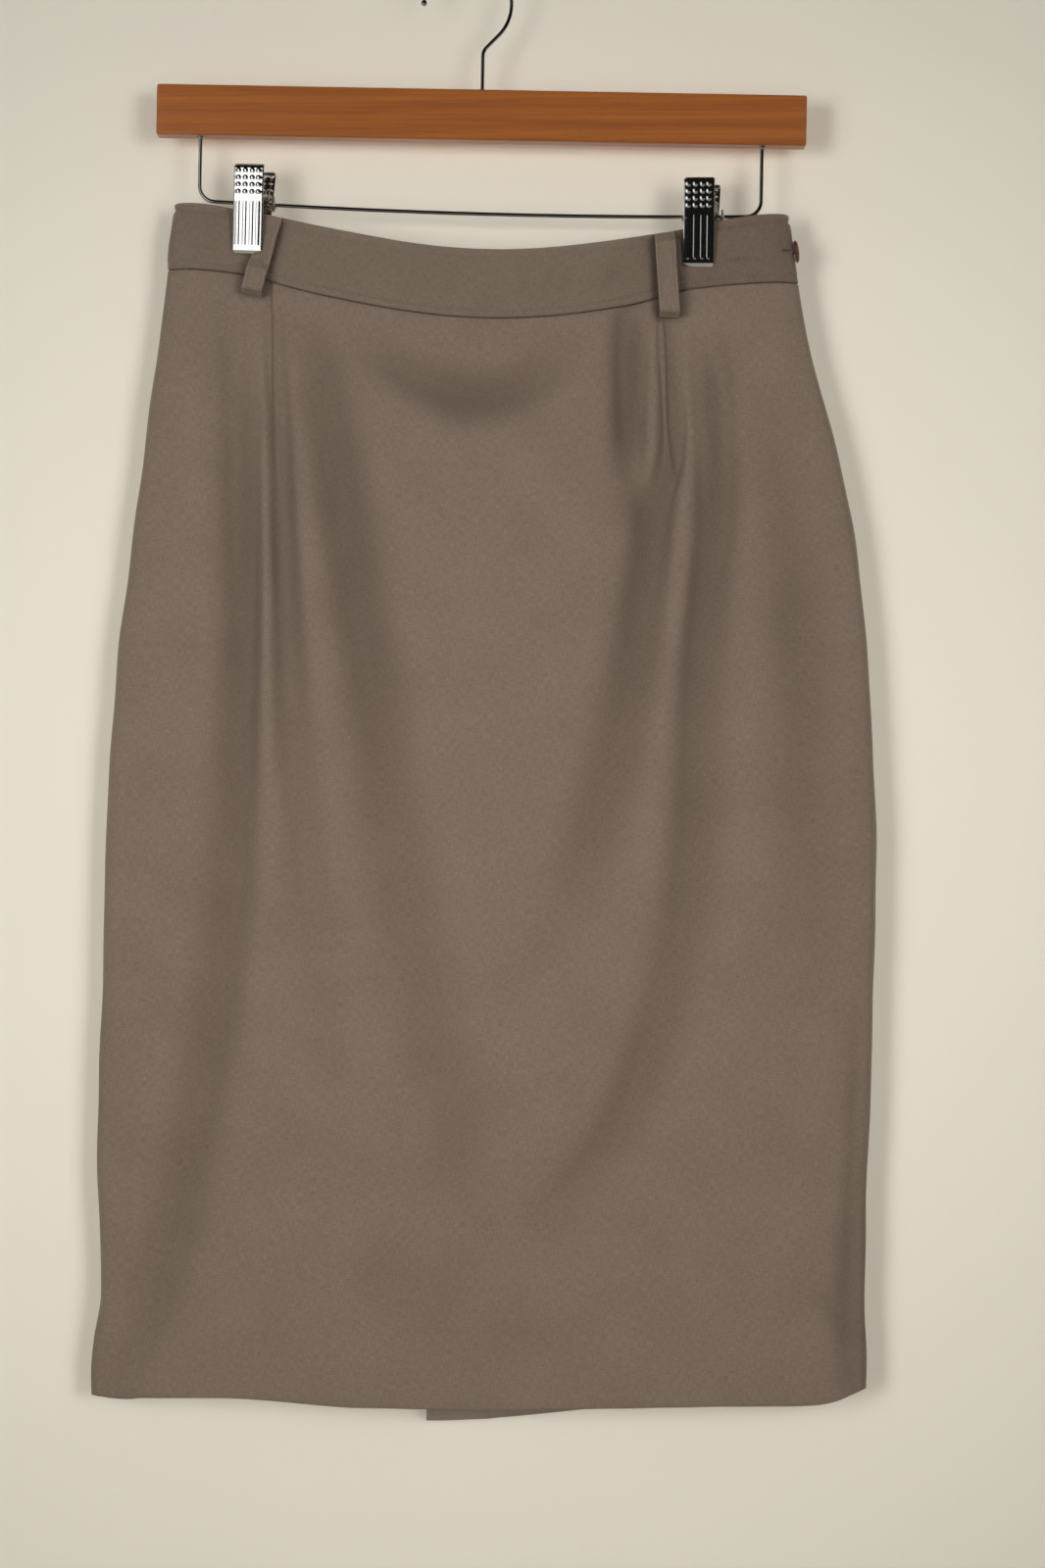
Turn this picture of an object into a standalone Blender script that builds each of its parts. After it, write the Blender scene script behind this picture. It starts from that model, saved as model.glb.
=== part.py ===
# A pencil skirt with a waistband, a side zip and a back vent, held by the two clips of a wooden hanger.
# Sizes are in millimetres until a mesh is made. The origin is where a rail touches the inside of the hook.
# +X is the wearer's left, -Y the front and +Z up. Left and right in the names are the wearer's.
import math

import bpy
from mathutils import Matrix, Vector

METRES = 0.001

# ---------------------------------------------------------------- the cut of the skirt
LENGTH = 652.0            # waist edge to hem, down the side
BAND_HEIGHT = 39.0
CLOTH = 1.2               # wall of a panel
BAND_CLOTH = 2.0          # the band is two layers and its stiffening
SEAM_GAP = 0.3            # between pieces that are sewn together
LAYER_GAP = 0.3           # between pieces that lie on each other
SEAM_BEHIND = 8.0         # how far behind the side edge the wearer's right seam lies
ZIP_BEHIND = 14.0         # the same for the left seam, which holds the zip
ZIP_LENGTH = 200.0
VENT_LENGTH = 180.0
VENT_TOP = LENGTH - VENT_LENGTH
UNDERLAP = 31.5           # what the vent's lower layer has past the centre back
BAND_LAP = 28.0           # how far behind the left edge the front band's end reaches
BAND_UNDERLAP_END = 5.0   # how near that edge the back band's end comes
BAND_TUCK = (9.0, 1.5)    # behind the front band's end, where the back band starts to go in, and is in
FLAP_TUCK = (10.0, 1.5)   # from the centre back, the same for the vent's lower layer

# ---------------------------------------------------------------- how it hangs
WAIST = (8.0, -135.3)     # x of the centre front, and z of the waist edge
WAIST_SLOPE = 0.0185      # the hanger is not quite level, so the waist drops towards the wearer's left
SAG_CENTRE = 3.4          # the waist sags most just to the wearer's left of the centre
SAG_REACH = 0.976         # share of the half width at which the sag ends
SAG_POWER = 1.81
BACK_LOWER = 3.0          # the back of the waist hangs a little lower than the front
CLIP_X = (-129.0, 118.0)  # from the centre front
CLIP_TURN = -12.0         # degrees about Z, of the clips and of the cloth between their jaws
CLIP_TWIST_REACH = 16.0
CLIP_TWIST_END = 80.0     # the drop at which the cloth no longer turns with the clips

# One row for each section: drop below the waist edge; half widths to the wearer's right and left; how far
# the front and the back stand out at the middle; how much of that the clips take away, and how wide;
# and how much lower the middle hangs than the sides.
SECTIONS = (
    # drop, right, left, front, back, pinch, pinch width, sag
    (0.0, 166.8, 165.5, 13.0, 9.0, 0.97, 44.0, 24.1),
    (24.0, 170.1, 168.6, 13.5, 9.5, 0.97, 44.0, 24.3),
    (39.0, 171.4, 171.0, 14.0, 10.0, 0.93, 44.0, 24.6),
    (56.0, 173.3, 173.9, 15.5, 11.0, 0.82, 44.0, 23.6),
    (80.0, 176.8, 179.2, 17.0, 12.0, 0.68, 45.0, 20.5),
    (120.0, 182.3, 190.3, 18.5, 13.5, 0.46, 46.0, 15.0),
    (165.0, 188.5, 199.9, 19.5, 15.0, 0.28, 47.0, 11.0),
    (207.0, 193.7, 206.1, 20.0, 16.0, 0.16, 48.0, 9.0),
    (250.0, 199.1, 209.8, 20.5, 16.5, 0.08, 49.0, 7.0),
    (315.0, 203.9, 213.1, 20.5, 16.5, 0.0, 50.0, 5.0),
    (380.0, 206.1, 213.6, 20.0, 16.0, 0.0, 50.0, 4.0),
    (465.0, 208.8, 211.5, 18.5, 15.0, 0.0, 50.0, 3.0),
    (530.0, 209.8, 208.8, 17.0, 14.0, 0.0, 50.0, 2.0),
    (595.0, 208.2, 207.7, 15.5, 13.0, 0.0, 50.0, 2.0),
    (615.0, 210.9, 207.7, 15.0, 12.5, 0.0, 50.0, 2.0),
    (635.0, 213.1, 208.2, 14.5, 12.0, 0.0, 50.0, 2.0),
    (652.0, 213.3, 208.2, 14.0, 12.0, 0.0, 50.0, 2.0),
)
RIGHT, LEFT, FRONT, BACK, PINCH, PINCH_WIDTH, SAG = range(1, 8)
PINCH_OUTSIDE = 0.6       # share of its width that a pinch has on the side away from the centre

# The folds that run down the cloth. Each row is a point of the fold: fall below the waist, x from the
# centre front, depth into the skirt, and how far the hollow reaches to either side.
FALL, ACROSS, DEPTH, REACH_RIGHT, REACH_LEFT = range(5)
FRONT_FOLDS = {
    "outer_right": (
        (50.0, -134.0, 0.0, 12.0, 8.0), (100.0, -131.5, 3.0, 12.0, 8.0), (205.0, -130.5, 5.0, 13.0, 8.0),
        (295.0, -136.5, 5.0, 16.0, 10.0), (420.0, -147.5, 4.0, 18.0, 13.0), (540.0, -166.0, 3.5, 18.0, 14.0),
        (600.0, -181.0, 3.0, 16.0, 14.0), (650.0, -196.0, 1.0, 14.0, 14.0)),
    "dart_right": (
        (48.0, -115.0, 0.0, 6.0, 5.0), (60.0, -114.5, 1.0, 6.0, 5.0), (145.0, -113.0, 3.0, 7.0, 7.0),
        (250.0, -104.0, 3.0, 9.0, 10.0), (370.0, -94.5, 2.0, 11.0, 12.0), (500.0, -76.0, 1.0, 14.0, 14.0),
        (560.0, -64.0, 0.0, 14.0, 14.0)),
    "inner_right": (
        (55.0, -95.0, 0.0, 13.0, 15.0), (85.0, -90.5, 3.5, 13.0, 15.0), (165.0, -78.5, 5.0, 14.0, 17.0),
        (260.0, -62.5, 4.5, 15.0, 18.0), (355.0, -46.5, 3.0, 16.0, 20.0), (460.0, -30.5, 2.0, 18.0, 20.0),
        (545.0, -7.0, 1.0, 18.0, 20.0), (590.0, 2.0, 0.0, 18.0, 20.0)),
    "inner_left": (
        (50.0, 84.0, 0.0, 12.0, 7.0), (75.0, 83.0, 3.5, 12.0, 7.0), (120.0, 81.5, 4.0, 12.0, 7.0),
        (155.0, 84.0, 1.5, 12.0, 7.0), (180.0, 86.0, 0.0, 12.0, 7.0)),
    "dart_left": (
        (56.0, 98.5, 0.0, 5.0, 5.0), (70.0, 99.0, 1.5, 5.0, 5.0), (130.0, 104.5, 3.0, 7.0, 6.0),
        (165.0, 95.0, 4.5, 13.0, 9.0), (230.0, 86.0, 5.0, 15.0, 10.0), (310.0, 68.0, 4.0, 18.0, 14.0),
        (385.0, 52.0, 2.0, 20.0, 16.0), (440.0, 42.0, 0.0, 20.0, 16.0)),
    "outer_left": (
        (60.0, 120.0, 0.0, 8.0, 10.0), (100.0, 123.0, 4.0, 8.0, 11.0), (200.0, 122.0, 5.0, 9.0, 13.0),
        (315.0, 113.0, 4.0, 12.0, 16.0), (420.0, 105.0, 3.0, 16.0, 18.0), (480.0, 78.0, 3.0, 16.0, 18.0),
        (535.0, 46.0, 2.0, 16.0, 18.0), (575.0, 28.0, 0.0, 16.0, 18.0)),
}
BACK_FOLDS = {
    "right": (
        (60.0, -118.0, 0.0, 12.0, 12.0), (120.0, -116.0, 4.0, 12.0, 13.0), (260.0, -108.0, 4.0, 15.0, 15.0),
        (400.0, -88.0, 2.5, 18.0, 18.0), (520.0, -60.0, 0.0, 18.0, 18.0)),
    "left": (
        (60.0, 108.0, 0.0, 12.0, 12.0), (130.0, 112.0, 4.5, 13.0, 12.0), (240.0, 110.0, 4.0, 14.0, 14.0),
        (370.0, 96.0, 3.0, 18.0, 18.0), (490.0, 72.0, 0.0, 18.0, 18.0)),
}
FOLDS_END_AT_EDGE = 12    # the power that keeps the folds off the side edges
DEEPEST_FOLD = 0.8        # share of the room between the skirt's front and back
# The slack of the sagging waist lies below the band as one fold across the front: across, fall, depth.
SMILE = ((-80.0, 62.0, 0.0), (-50.0, 88.0, 3.0), (-7.0, 104.0, 5.0), (30.0, 95.0, 3.5), (62.0, 72.0, 0.0))
SMILE_FALL, SMILE_DEPTH = 1, 2
SMILE_REACH = 13.0

# The hem's line is not level: across from the centre front, and the rise.
HEM_LINE = (
    (-213.0, 2.6), (-198.0, 1.6), (-180.0, 2.6), (-136.0, 3.8), (-104.0, 2.1), (-70.0, 0.0),
    (120.0, -0.5), (180.0, -1.5), (192.0, 0.0), (203.0, 3.9), (208.0, 6.0))
HEM_RISE = 1
HEM_RISE_HEIGHT = 60.0    # how far above the hem that is felt
VENT_DROOP = 11.7         # the vent's lower layer hangs below the rest of the hem
VENT_DROOP_REACH = 142.0

# ---------------------------------------------------------------- belt loops, zip and button
LOOP_WIDTH = 11.2
LOOP_CLOTH = 1.5
LOOP_STAND = 6.6          # a belt passes between the loop and the band
LOOP_BEND = 0.14          # share of a loop's length in which it comes off the band
LOOP_FOOT_BEND = 0.88     # share of its length at which it starts back to the band
LOOP_STEPS = 12
# Top and foot are each across from the centre and a drop; flat is the share that lies flat at the top.
LOOPS = {
    "loop_front_right": {"top": (-115.8, 0.4), "foot": (-125.4, 45.0), "flat": 0.50, "back": False},
    "loop_front_left": {"top": (98.8, 0.4), "foot": (101.0, 46.5), "flat": 0.0, "back": False},
    "loop_back_right": {"top": (-62.0, 0.4), "foot": (-62.0, 46.0), "flat": 0.0, "back": True},
    "loop_back_left": {"top": (62.0, 0.4), "foot": (62.0, 46.0), "flat": 0.0, "back": True},
}
BUTTON_DROP = 20.8
BUTTON_RADIUS = 6.1
BUTTON_THICKNESS = 1.7
BUTTON_TURN = 90.12       # where round the waist the button sits, on the side edge
TAPE_WIDTH = 20.0
TAPE_THICKNESS = 0.8
TAPE_BELOW_BAND = 1.0
TAPE_PAST_ZIP = 6.0
SLIDER_WIDTH = 4.0
SLIDER_HEIGHT = 8.0
SLIDER_DEPTH = 1.8
SLIDER_CORNER = 1.2
SLIDER_OUT = 2.0          # of its face, from the inner face of the cloth
SLIDER_CLEARANCE = 0.4
SLIDER_DROP = BAND_HEIGHT + 6.5
OPENING_FOOT = SLIDER_DROP + SLIDER_HEIGHT / 2 + 1.0
OPENING_END = OPENING_FOOT + 6.0
EAR_WIDTH = 0.7           # two ears on the slider hold the axle of its tab
EAR_HEIGHT = 2.6
EAR_CORNER = 0.2
EAR_SUNK = 0.4            # into the slider's body
EAR_PAST_AXLE = 0.87
EARS_APART = 2.3
AXLE_OUT = 3.3            # from the inner face of the cloth
AXLE_ABOVE = 1.6          # above the slider's middle
AXLE_RADIUS = 0.45
PULL_BORE = 0.62
PULL_EYE_RADIUS = 1.05
PULL_EYE_WIDTH = 1.8
PULL_LENGTH = 13.0
PULL_WIDTH = 4.4
PULL_NECK = 3.0           # below the axle, where the tab is at its full width
PULL_THICKNESS = 0.9

# ---------------------------------------------------------------- the hanger
HANGER_LEAN = 1.04        # degrees about Y: its end at the wearer's left is lower
BAR_SIZE = (355.0, 12.0, 27.6)
BAR_CENTRE = (8.7, -84.3)
BAR_ROUND = 2.6
BAR_CORNER = 0.8
WIRE_RADIUS = 1.05
WIRE_HOLE = 1.4
HOOK_RADIUS = 23.9        # of the middle of its wire
HOOK_SLANT = 44.0         # degrees by which the wire leans where it leaves the stem
HOOK_END = 176.0          # degrees round the hook at which the wire ends
HOOK_BEND = 7.0           # radius of the bend at the stem's top
HOOK_STEM = 4.0           # straight above the bar
HOOK_TIP = (1.25, 1.6, 1.6, 0.9)    # the wire's end is a small ball: shares of its radius
RAIL_HALF_SPAN = 153.8
RAIL_BEND = 8.5
RAIL_ENDS = (-133.4, -136.4)
RAIL_SAG = 2.6
RAIL_LEG = 3.0            # straight below the bar
WIRE_IN_BAR = 14.0
# The clips: x along the rail, how far each leans, and how far its front foot is from the rail's plane
CLIPS = {"clip_right": (-115.6, 2.8, 4.9), "clip_left": (129.9, 1.05, 3.5)}
PLATE_WIDTH = 17.0
PLATE_THICKNESS = 0.9
PLATE_CORNER = 1.4
PLATE_TOP = 20.0          # above the rail
PLATE_FOOT = 28.3         # below it
PLATE_SPREAD = 11.2       # of the handles, from the rail
BACK_JAW = 3.5
BARREL_HALF_LENGTH = 10.0
BARREL_RADIUS = 3.1
SPRING_RADIUS = 2.6
BARREL_BORE = 1.5
BARREL_FLANGE = 1.0
BARREL_OFFSET = 2.0       # to the wearer's left of the plates' middle

COLOURS = {
    # red, green, blue, roughness, metallic
    "wool": (0.188, 0.137, 0.104, 0.85, 0.0),
    "zip_cloth": (0.12, 0.09, 0.07, 0.8, 0.0),
    "horn": (0.07, 0.03, 0.018, 0.35, 0.0),
    "zip_metal": (0.30, 0.25, 0.20, 0.35, 1.0),
    "cherry": (0.25, 0.085, 0.025, 0.45, 0.0),
    "chrome": (0.75, 0.75, 0.74, 0.12, 1.0),
}


# ---------------------------------------------------------------- reading the tables
def read(table, column, at):
    """The value of one column on a smooth curve through the rows, ordered by their first column."""
    if at <= table[0][0]:
        return table[0][column]
    if at >= table[-1][0]:
        return table[-1][column]
    low = max(i for i in range(len(table) - 1) if table[i][0] <= at)
    slopes = []
    for i in (low, low + 1):
        before, after = table[max(i - 1, 0)], table[min(i + 1, len(table) - 1)]
        slopes.append((after[column] - before[column]) / (after[0] - before[0]))
    step = table[low + 1][0] - table[low][0]
    t = (at - table[low][0]) / step
    return ((1 + 2 * t) * (1 - t) ** 2 * table[low][column]
            + t * (1 - t) ** 2 * step * slopes[0]
            + t * t * (3 - 2 * t) * table[low + 1][column]
            - t * t * (1 - t) * step * slopes[1])


def ease(low, high, value):
    """0 below low, 1 above high, and smooth between."""
    t = min(1.0, max(0.0, (value - low) / (high - low)))
    return t * t * (3 - 2 * t)


# ---------------------------------------------------------------- the form of the hanging cloth
def half_width(turn, drop):
    return read(SECTIONS, LEFT if math.sin(math.radians(turn)) > 0 else RIGHT, drop)


def hollows(folds, across, fall):
    """How far the folds draw the cloth in at one place."""
    total = 0.0
    for rows in folds.values():
        if not rows[0][FALL] < fall < rows[-1][FALL]:
            continue
        away = across - read(rows, ACROSS, fall)
        reach = read(rows, REACH_LEFT if away > 0 else REACH_RIGHT, fall)
        total += read(rows, DEPTH, fall) * math.exp(-(away / reach) ** 2)
    return total


def smile(across, fall):
    away = fall - read(SMILE, SMILE_FALL, across)
    return read(SMILE, SMILE_DEPTH, across) * math.exp(-(away / SMILE_REACH) ** 2)


def height(turn, across, drop):
    """World z of a point of the cloth."""
    share = (across - SAG_CENTRE) / (SAG_REACH * half_width(turn, drop))
    sag = read(SECTIONS, SAG, drop) * max(0.0, 1 - share * share) ** SAG_POWER
    lower = WAIST_SLOPE * across + BACK_LOWER * max(0.0, -math.cos(math.radians(turn)))
    rise = read(HEM_LINE, HEM_RISE, across) * ease(LENGTH - HEM_RISE_HEIGHT, LENGTH, drop)
    return WAIST[1] - drop - sag - lower * (1 - drop / LENGTH) + rise


def inner_point(turn, drop):
    """The cloth's inner face at a turn about the skirt: 0 is the centre front, 90 the wearer's left edge."""
    angle = math.radians(turn)
    across = half_width(turn, drop) * math.sin(angle)
    front = math.cos(angle) > 0
    stands = read(SECTIONS, FRONT if front else BACK, drop) * abs(math.cos(angle))
    pinch = 0.0
    twist = 0.0
    for clip in CLIP_X:
        away = across - clip
        width = read(SECTIONS, PINCH_WIDTH, drop) * (PINCH_OUTSIDE if away * clip > 0 else 1.0)
        pinch += math.exp(-(away / width) ** 2)
        twist += away * math.exp(-(away / CLIP_TWIST_REACH) ** 2)
    stands *= 1 - min(1.0, pinch) * read(SECTIONS, PINCH, drop)
    z = height(turn, across, drop)
    fall = WAIST[1] - z
    drawn_in = hollows(FRONT_FOLDS if front else BACK_FOLDS, across, fall)
    if front:
        drawn_in += smile(across, fall)
    drawn_in *= 1 - abs(math.sin(angle)) ** FOLDS_END_AT_EDGE
    stands -= min(drawn_in, DEEPEST_FOLD * stands)
    turned = math.tan(math.radians(CLIP_TURN)) * twist * (1 - ease(BAND_HEIGHT, CLIP_TWIST_END, drop))
    return Vector((WAIST[0] + across, (-stands if front else stands) + turned, z))


def outward(turn, drop):
    """The level direction that points straight out of the cloth."""
    along = inner_point(turn + TURN_STEP, drop) - inner_point(turn - TURN_STEP, drop)
    return Vector((along.y, -along.x, 0.0)).normalized()


def cloth_point(turn, drop, out):
    """A point of the cloth, moved out from its inner face."""
    return inner_point(turn, drop) + outward(turn, drop) * out


def turn_of(across, drop, back=False):
    """The turn at which the cloth is that far across from the centre."""
    edge = read(SECTIONS, LEFT if across > 0 else RIGHT, drop)
    turn = math.degrees(math.asin(max(-1.0, min(1.0, across / edge))))
    return 180.0 - turn if back else turn


def behind(side, distance, drop):
    """The turn of a point a distance behind a side edge; side is 1 at the wearer's left, else -1."""
    edge = read(SECTIONS, LEFT if side > 0 else RIGHT, drop)
    return side * (180.0 - math.degrees(math.asin(1 - distance / edge)))


# ---------------------------------------------------------------- where the columns and rows go
MIDDLE_STEPS = 17
MIDDLE_SHARE = 0.93       # of the half width; the columns crowd together past it
EDGE_SHARES = [0.965, 0.988]
SHARES = [i / MIDDLE_STEPS * MIDDLE_SHARE for i in range(1, MIDDLE_STEPS + 1)] + EDGE_SHARES
CLOSEST_COLUMNS = 1.2     # degrees
RIGHT_EDGE_COLUMN = 3.0   # how far behind the side edges the last columns lie
LEFT_EDGE_COLUMNS = [2.0, 7.0]
LAP_COLUMNS = [13.0, 20.0]
FLAP_COLUMNS = 3          # across the underlap of the vent
ROWS_ABOVE_VENT = 11
ROWS_CROWD = 1.25         # they crowd towards the waist
ROWS_AT_VENT = 6
ROWS_OF_BAND = 3
ROWS_OF_TAPE = 7
ROW_BELOW_OPENING = 10.0
ROW_ABOVE_VENT = 8.0
TURN_STEP = 0.4           # to either side of a place, where the cloth's slope is found
DROP_STEP = 6.0
SMOOTH_ANGLE = 40.0


def across_turns():
    """Turns over the front from one side edge to the other, closer together at the edges."""
    half = [math.degrees(math.asin(share)) for share in SHARES] + [90.0]
    return [-turn for turn in reversed(half)] + [0.0] + half


def drops(start, end, count, crowd=1.0):
    """Rows from start to end, crowded towards the start."""
    return [start + (end - start) * (i / count) ** crowd for i in range(count + 1)]


def panel_rows():
    """The panels share their rows, so that their seams fit; some end the slider's opening or the vent."""
    opening = [BAND_HEIGHT + SEAM_GAP / 2, OPENING_FOOT, OPENING_END]
    start, end = OPENING_END + ROW_BELOW_OPENING, VENT_TOP - ROW_ABOVE_VENT
    return opening + drops(start, end, ROWS_ABOVE_VENT, ROWS_CROWD) + drops(VENT_TOP, LENGTH, ROWS_AT_VENT)


def band_rows():
    return drops(0.0, BAND_HEIGHT - SEAM_GAP / 2, ROWS_OF_BAND)


def zip_half_gap(drop):
    """Half the gap between the panels' edges at the zip: the seam opens round the slider."""
    opening = SLIDER_WIDTH / 2 + SLIDER_CLEARANCE - SEAM_GAP / 2
    return SEAM_GAP / 2 + opening * (1 - ease(OPENING_FOOT, OPENING_END, drop))


# ---------------------------------------------------------------- making meshes
materials = {}


def material(name):
    if name not in materials:
        red, green, blue, roughness, metallic = COLOURS[name]
        made = bpy.data.materials.new(name)
        made.use_nodes = True
        shader = made.node_tree.nodes["Principled BSDF"]
        shader.inputs["Base Color"].default_value = (red, green, blue, 1.0)
        shader.inputs["Roughness"].default_value = roughness
        shader.inputs["Metallic"].default_value = metallic
        made.diffuse_color = (red, green, blue, 1.0)
        materials[name] = made
    return materials[name]


def add_object(name, points, faces, finish):
    mesh = bpy.data.meshes.new(name)
    mesh.from_pydata([Vector(point) * METRES for point in points], [], faces)
    mesh.materials.append(material(finish))
    mesh.shade_smooth()
    mesh.set_sharp_from_angle(angle=math.radians(SMOOTH_ANGLE))
    made = bpy.data.objects.new(name, mesh)
    bpy.context.scene.collection.objects.link(made)
    return made


def shell(name, outer, inner, finish, cells=None):
    """A closed wall between two grids of points; columns run with the turn and rows run down."""
    rows, columns = len(outer), len(outer[0])
    if cells is None:
        cells = {(row, column) for row in range(rows - 1) for column in range(columns - 1)}
    numbers = {}
    points = []

    def vertex(layer, row, column):
        key = (layer, row, column)
        if key not in numbers:
            numbers[key] = len(points)
            points.append((inner, outer)[layer][row][column])
        return numbers[key]

    faces = []
    for row, column in sorted(cells):
        ring = [(row, column), (row + 1, column), (row + 1, column + 1), (row, column + 1)]
        faces.append([vertex(1, *corner) for corner in ring])
        faces.append([vertex(0, *corner) for corner in reversed(ring)])
        neighbours = [(row, column - 1), (row + 1, column), (row, column + 1), (row - 1, column)]
        for side, neighbour in enumerate(neighbours):
            if neighbour not in cells:
                here, there = ring[side], ring[(side + 1) % 4]
                faces.append([vertex(1, *there), vertex(1, *here), vertex(0, *here), vertex(0, *there)])
    return add_object(name, points, faces, finish)


def cloth_shell(name, rows, turns_at, wall, finish="wool", shift=None):
    """A piece of the skirt. turns_at gives a row's turns, and shift moves a point's layer in or out."""
    outer, inner = [], []
    for drop in rows:
        turns = turns_at(drop)
        moved = [shift(turn, drop) if shift else 0.0 for turn in turns]
        outer.append([cloth_point(turn, drop, wall + move) for turn, move in zip(turns, moved)])
        inner.append([cloth_point(turn, drop, move) for turn, move in zip(turns, moved)])
    return shell(name, outer, inner, finish)


def wire(name, path, parent, swell=None):
    """A wire along a path in X and Z; swell has a share of its radius for each point."""
    curve = bpy.data.curves.new(name, "CURVE")
    curve.dimensions = "3D"
    curve.bevel_depth = WIRE_RADIUS * METRES
    curve.bevel_resolution = 2
    curve.use_fill_caps = True
    spline = curve.splines.new("POLY")
    spline.points.add(len(path) - 1)
    for index, (x, z) in enumerate(path):
        spline.points[index].co = (x * METRES, 0.0, z * METRES, 1.0)
        spline.points[index].radius = swell[index] if swell else 1.0
    curve.materials.append(material("chrome"))
    made = bpy.data.objects.new(name, curve)
    bpy.context.scene.collection.objects.link(made)
    made.parent = parent
    return made


def ring_solid(name, profile, finish, steps=20):
    """A turned ring about X with a hole through it. The profile's points are (x, radius), in order."""
    points = [(x, radius * math.cos(2 * math.pi * i / steps), radius * math.sin(2 * math.pi * i / steps))
              for i in range(steps) for x, radius in profile]
    count = len(profile)
    faces = [[i * count + k, (i + 1) % steps * count + k,
              (i + 1) % steps * count + (k + 1) % count, i * count + (k + 1) % count]
             for i in range(steps) for k in range(count)]
    return add_object(name, points, faces, finish)


def rod(name, radius, low, high, finish, steps=16):
    """A round rod along its own Z."""
    ring = [(radius * math.cos(2 * math.pi * i / steps), radius * math.sin(2 * math.pi * i / steps))
            for i in range(steps)]
    points = [(x, y, z) for z in (low, high) for x, y in ring]
    faces = [list(reversed(range(steps))), list(range(steps, 2 * steps))]
    faces += [[i, (i + 1) % steps, (i + 1) % steps + steps, i + steps] for i in range(steps)]
    return add_object(name, points, faces, finish)


def slab(name, outline, thickness, finish):
    """An outline in X and Z with a thickness in Y, from 0 to the back."""
    count = len(outline)
    points = [(x, 0.0, z) for x, z in outline] + [(x, thickness, z) for x, z in outline]
    faces = [list(range(count)), list(reversed(range(count, 2 * count)))]
    faces += [[i, i + count, (i + 1) % count + count, (i + 1) % count] for i in range(count)]
    return add_object(name, points, faces, finish)


def rounded_outline(width, low, high, corner, steps=3):
    """A rectangle from low to high with round corners, anticlockwise as seen from the front."""
    points = []
    for x, z, start in ((-1, low, 180), (1, low, 270), (1, high, 0), (-1, high, 90)):
        centre_x = x * (width / 2 - corner)
        centre_z = z + corner if z == low else z - corner
        for step in range(steps + 1):
            angle = math.radians(start + 90 * step / steps)
            points.append((centre_x + corner * math.cos(angle), centre_z + corner * math.sin(angle)))
    return points


def place(made, location, rotation=(0.0, 0.0, 0.0), parent=None):
    made.location = Vector(location) * METRES
    made.rotation_euler = [math.radians(angle) for angle in rotation]
    made.parent = parent
    return made


def combine(made, other, operation):
    """Joins or cuts with another object, which is only a guide."""
    other.hide_render = True
    other.display_type = "WIRE"
    change = made.modifiers.new(other.name, "BOOLEAN")
    change.operation = operation
    change.object = other
    change.solver = "EXACT"


def empty(name):
    made = bpy.data.objects.new(name, None)
    bpy.context.scene.collection.objects.link(made)
    return made


def stand_on_cloth(made, turn, drop, out):
    """Places an object on the cloth: its own X along the waist, -Y out of the cloth and Z up the cloth."""
    point = cloth_point(turn, drop, out)
    along = cloth_point(turn + TURN_STEP, drop, out) - cloth_point(turn - TURN_STEP, drop, out)
    along.normalize()
    up = cloth_point(turn, drop - DROP_STEP, out) - cloth_point(turn, drop + DROP_STEP, out)
    normal = along.cross(up).normalized()
    up = normal.cross(along)
    made.matrix_world = Matrix((
        (along.x, -normal.x, up.x, point.x * METRES),
        (along.y, -normal.y, up.y, point.y * METRES),
        (along.z, -normal.z, up.z, point.z * METRES),
        (0.0, 0.0, 0.0, 1.0)))


# ---------------------------------------------------------------- the pieces of cloth
def front_panel():
    def turns_at(drop):
        right = [behind(-1, distance, drop) for distance in (SEAM_BEHIND - SEAM_GAP / 2, RIGHT_EDGE_COLUMN)]
        seam = ZIP_BEHIND - zip_half_gap(drop)
        left = [behind(1, distance, drop) for distance in LEFT_EDGE_COLUMNS + [seam]]
        return right + across_turns() + left

    cloth_shell("front_panel", panel_rows(), turns_at, CLOTH)


def back_turns(drop, start, end):
    """Turns across the back that lie between two turns, with those two at the ends."""
    middle = [turn + 180.0 for turn in across_turns()]
    middle = [turn for turn in middle if start + CLOSEST_COLUMNS < turn < end - CLOSEST_COLUMNS]
    return [start] + middle + [end]


def back_panel_right():
    def turns_at(drop):
        gap = math.degrees(SEAM_GAP / 2 / half_width(200.0, drop))
        return back_turns(drop, 180.0 + gap, 360.0 + behind(-1, SEAM_BEHIND + SEAM_GAP / 2, drop))

    cloth_shell("back_panel_right", panel_rows(), turns_at, CLOTH)


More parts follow.
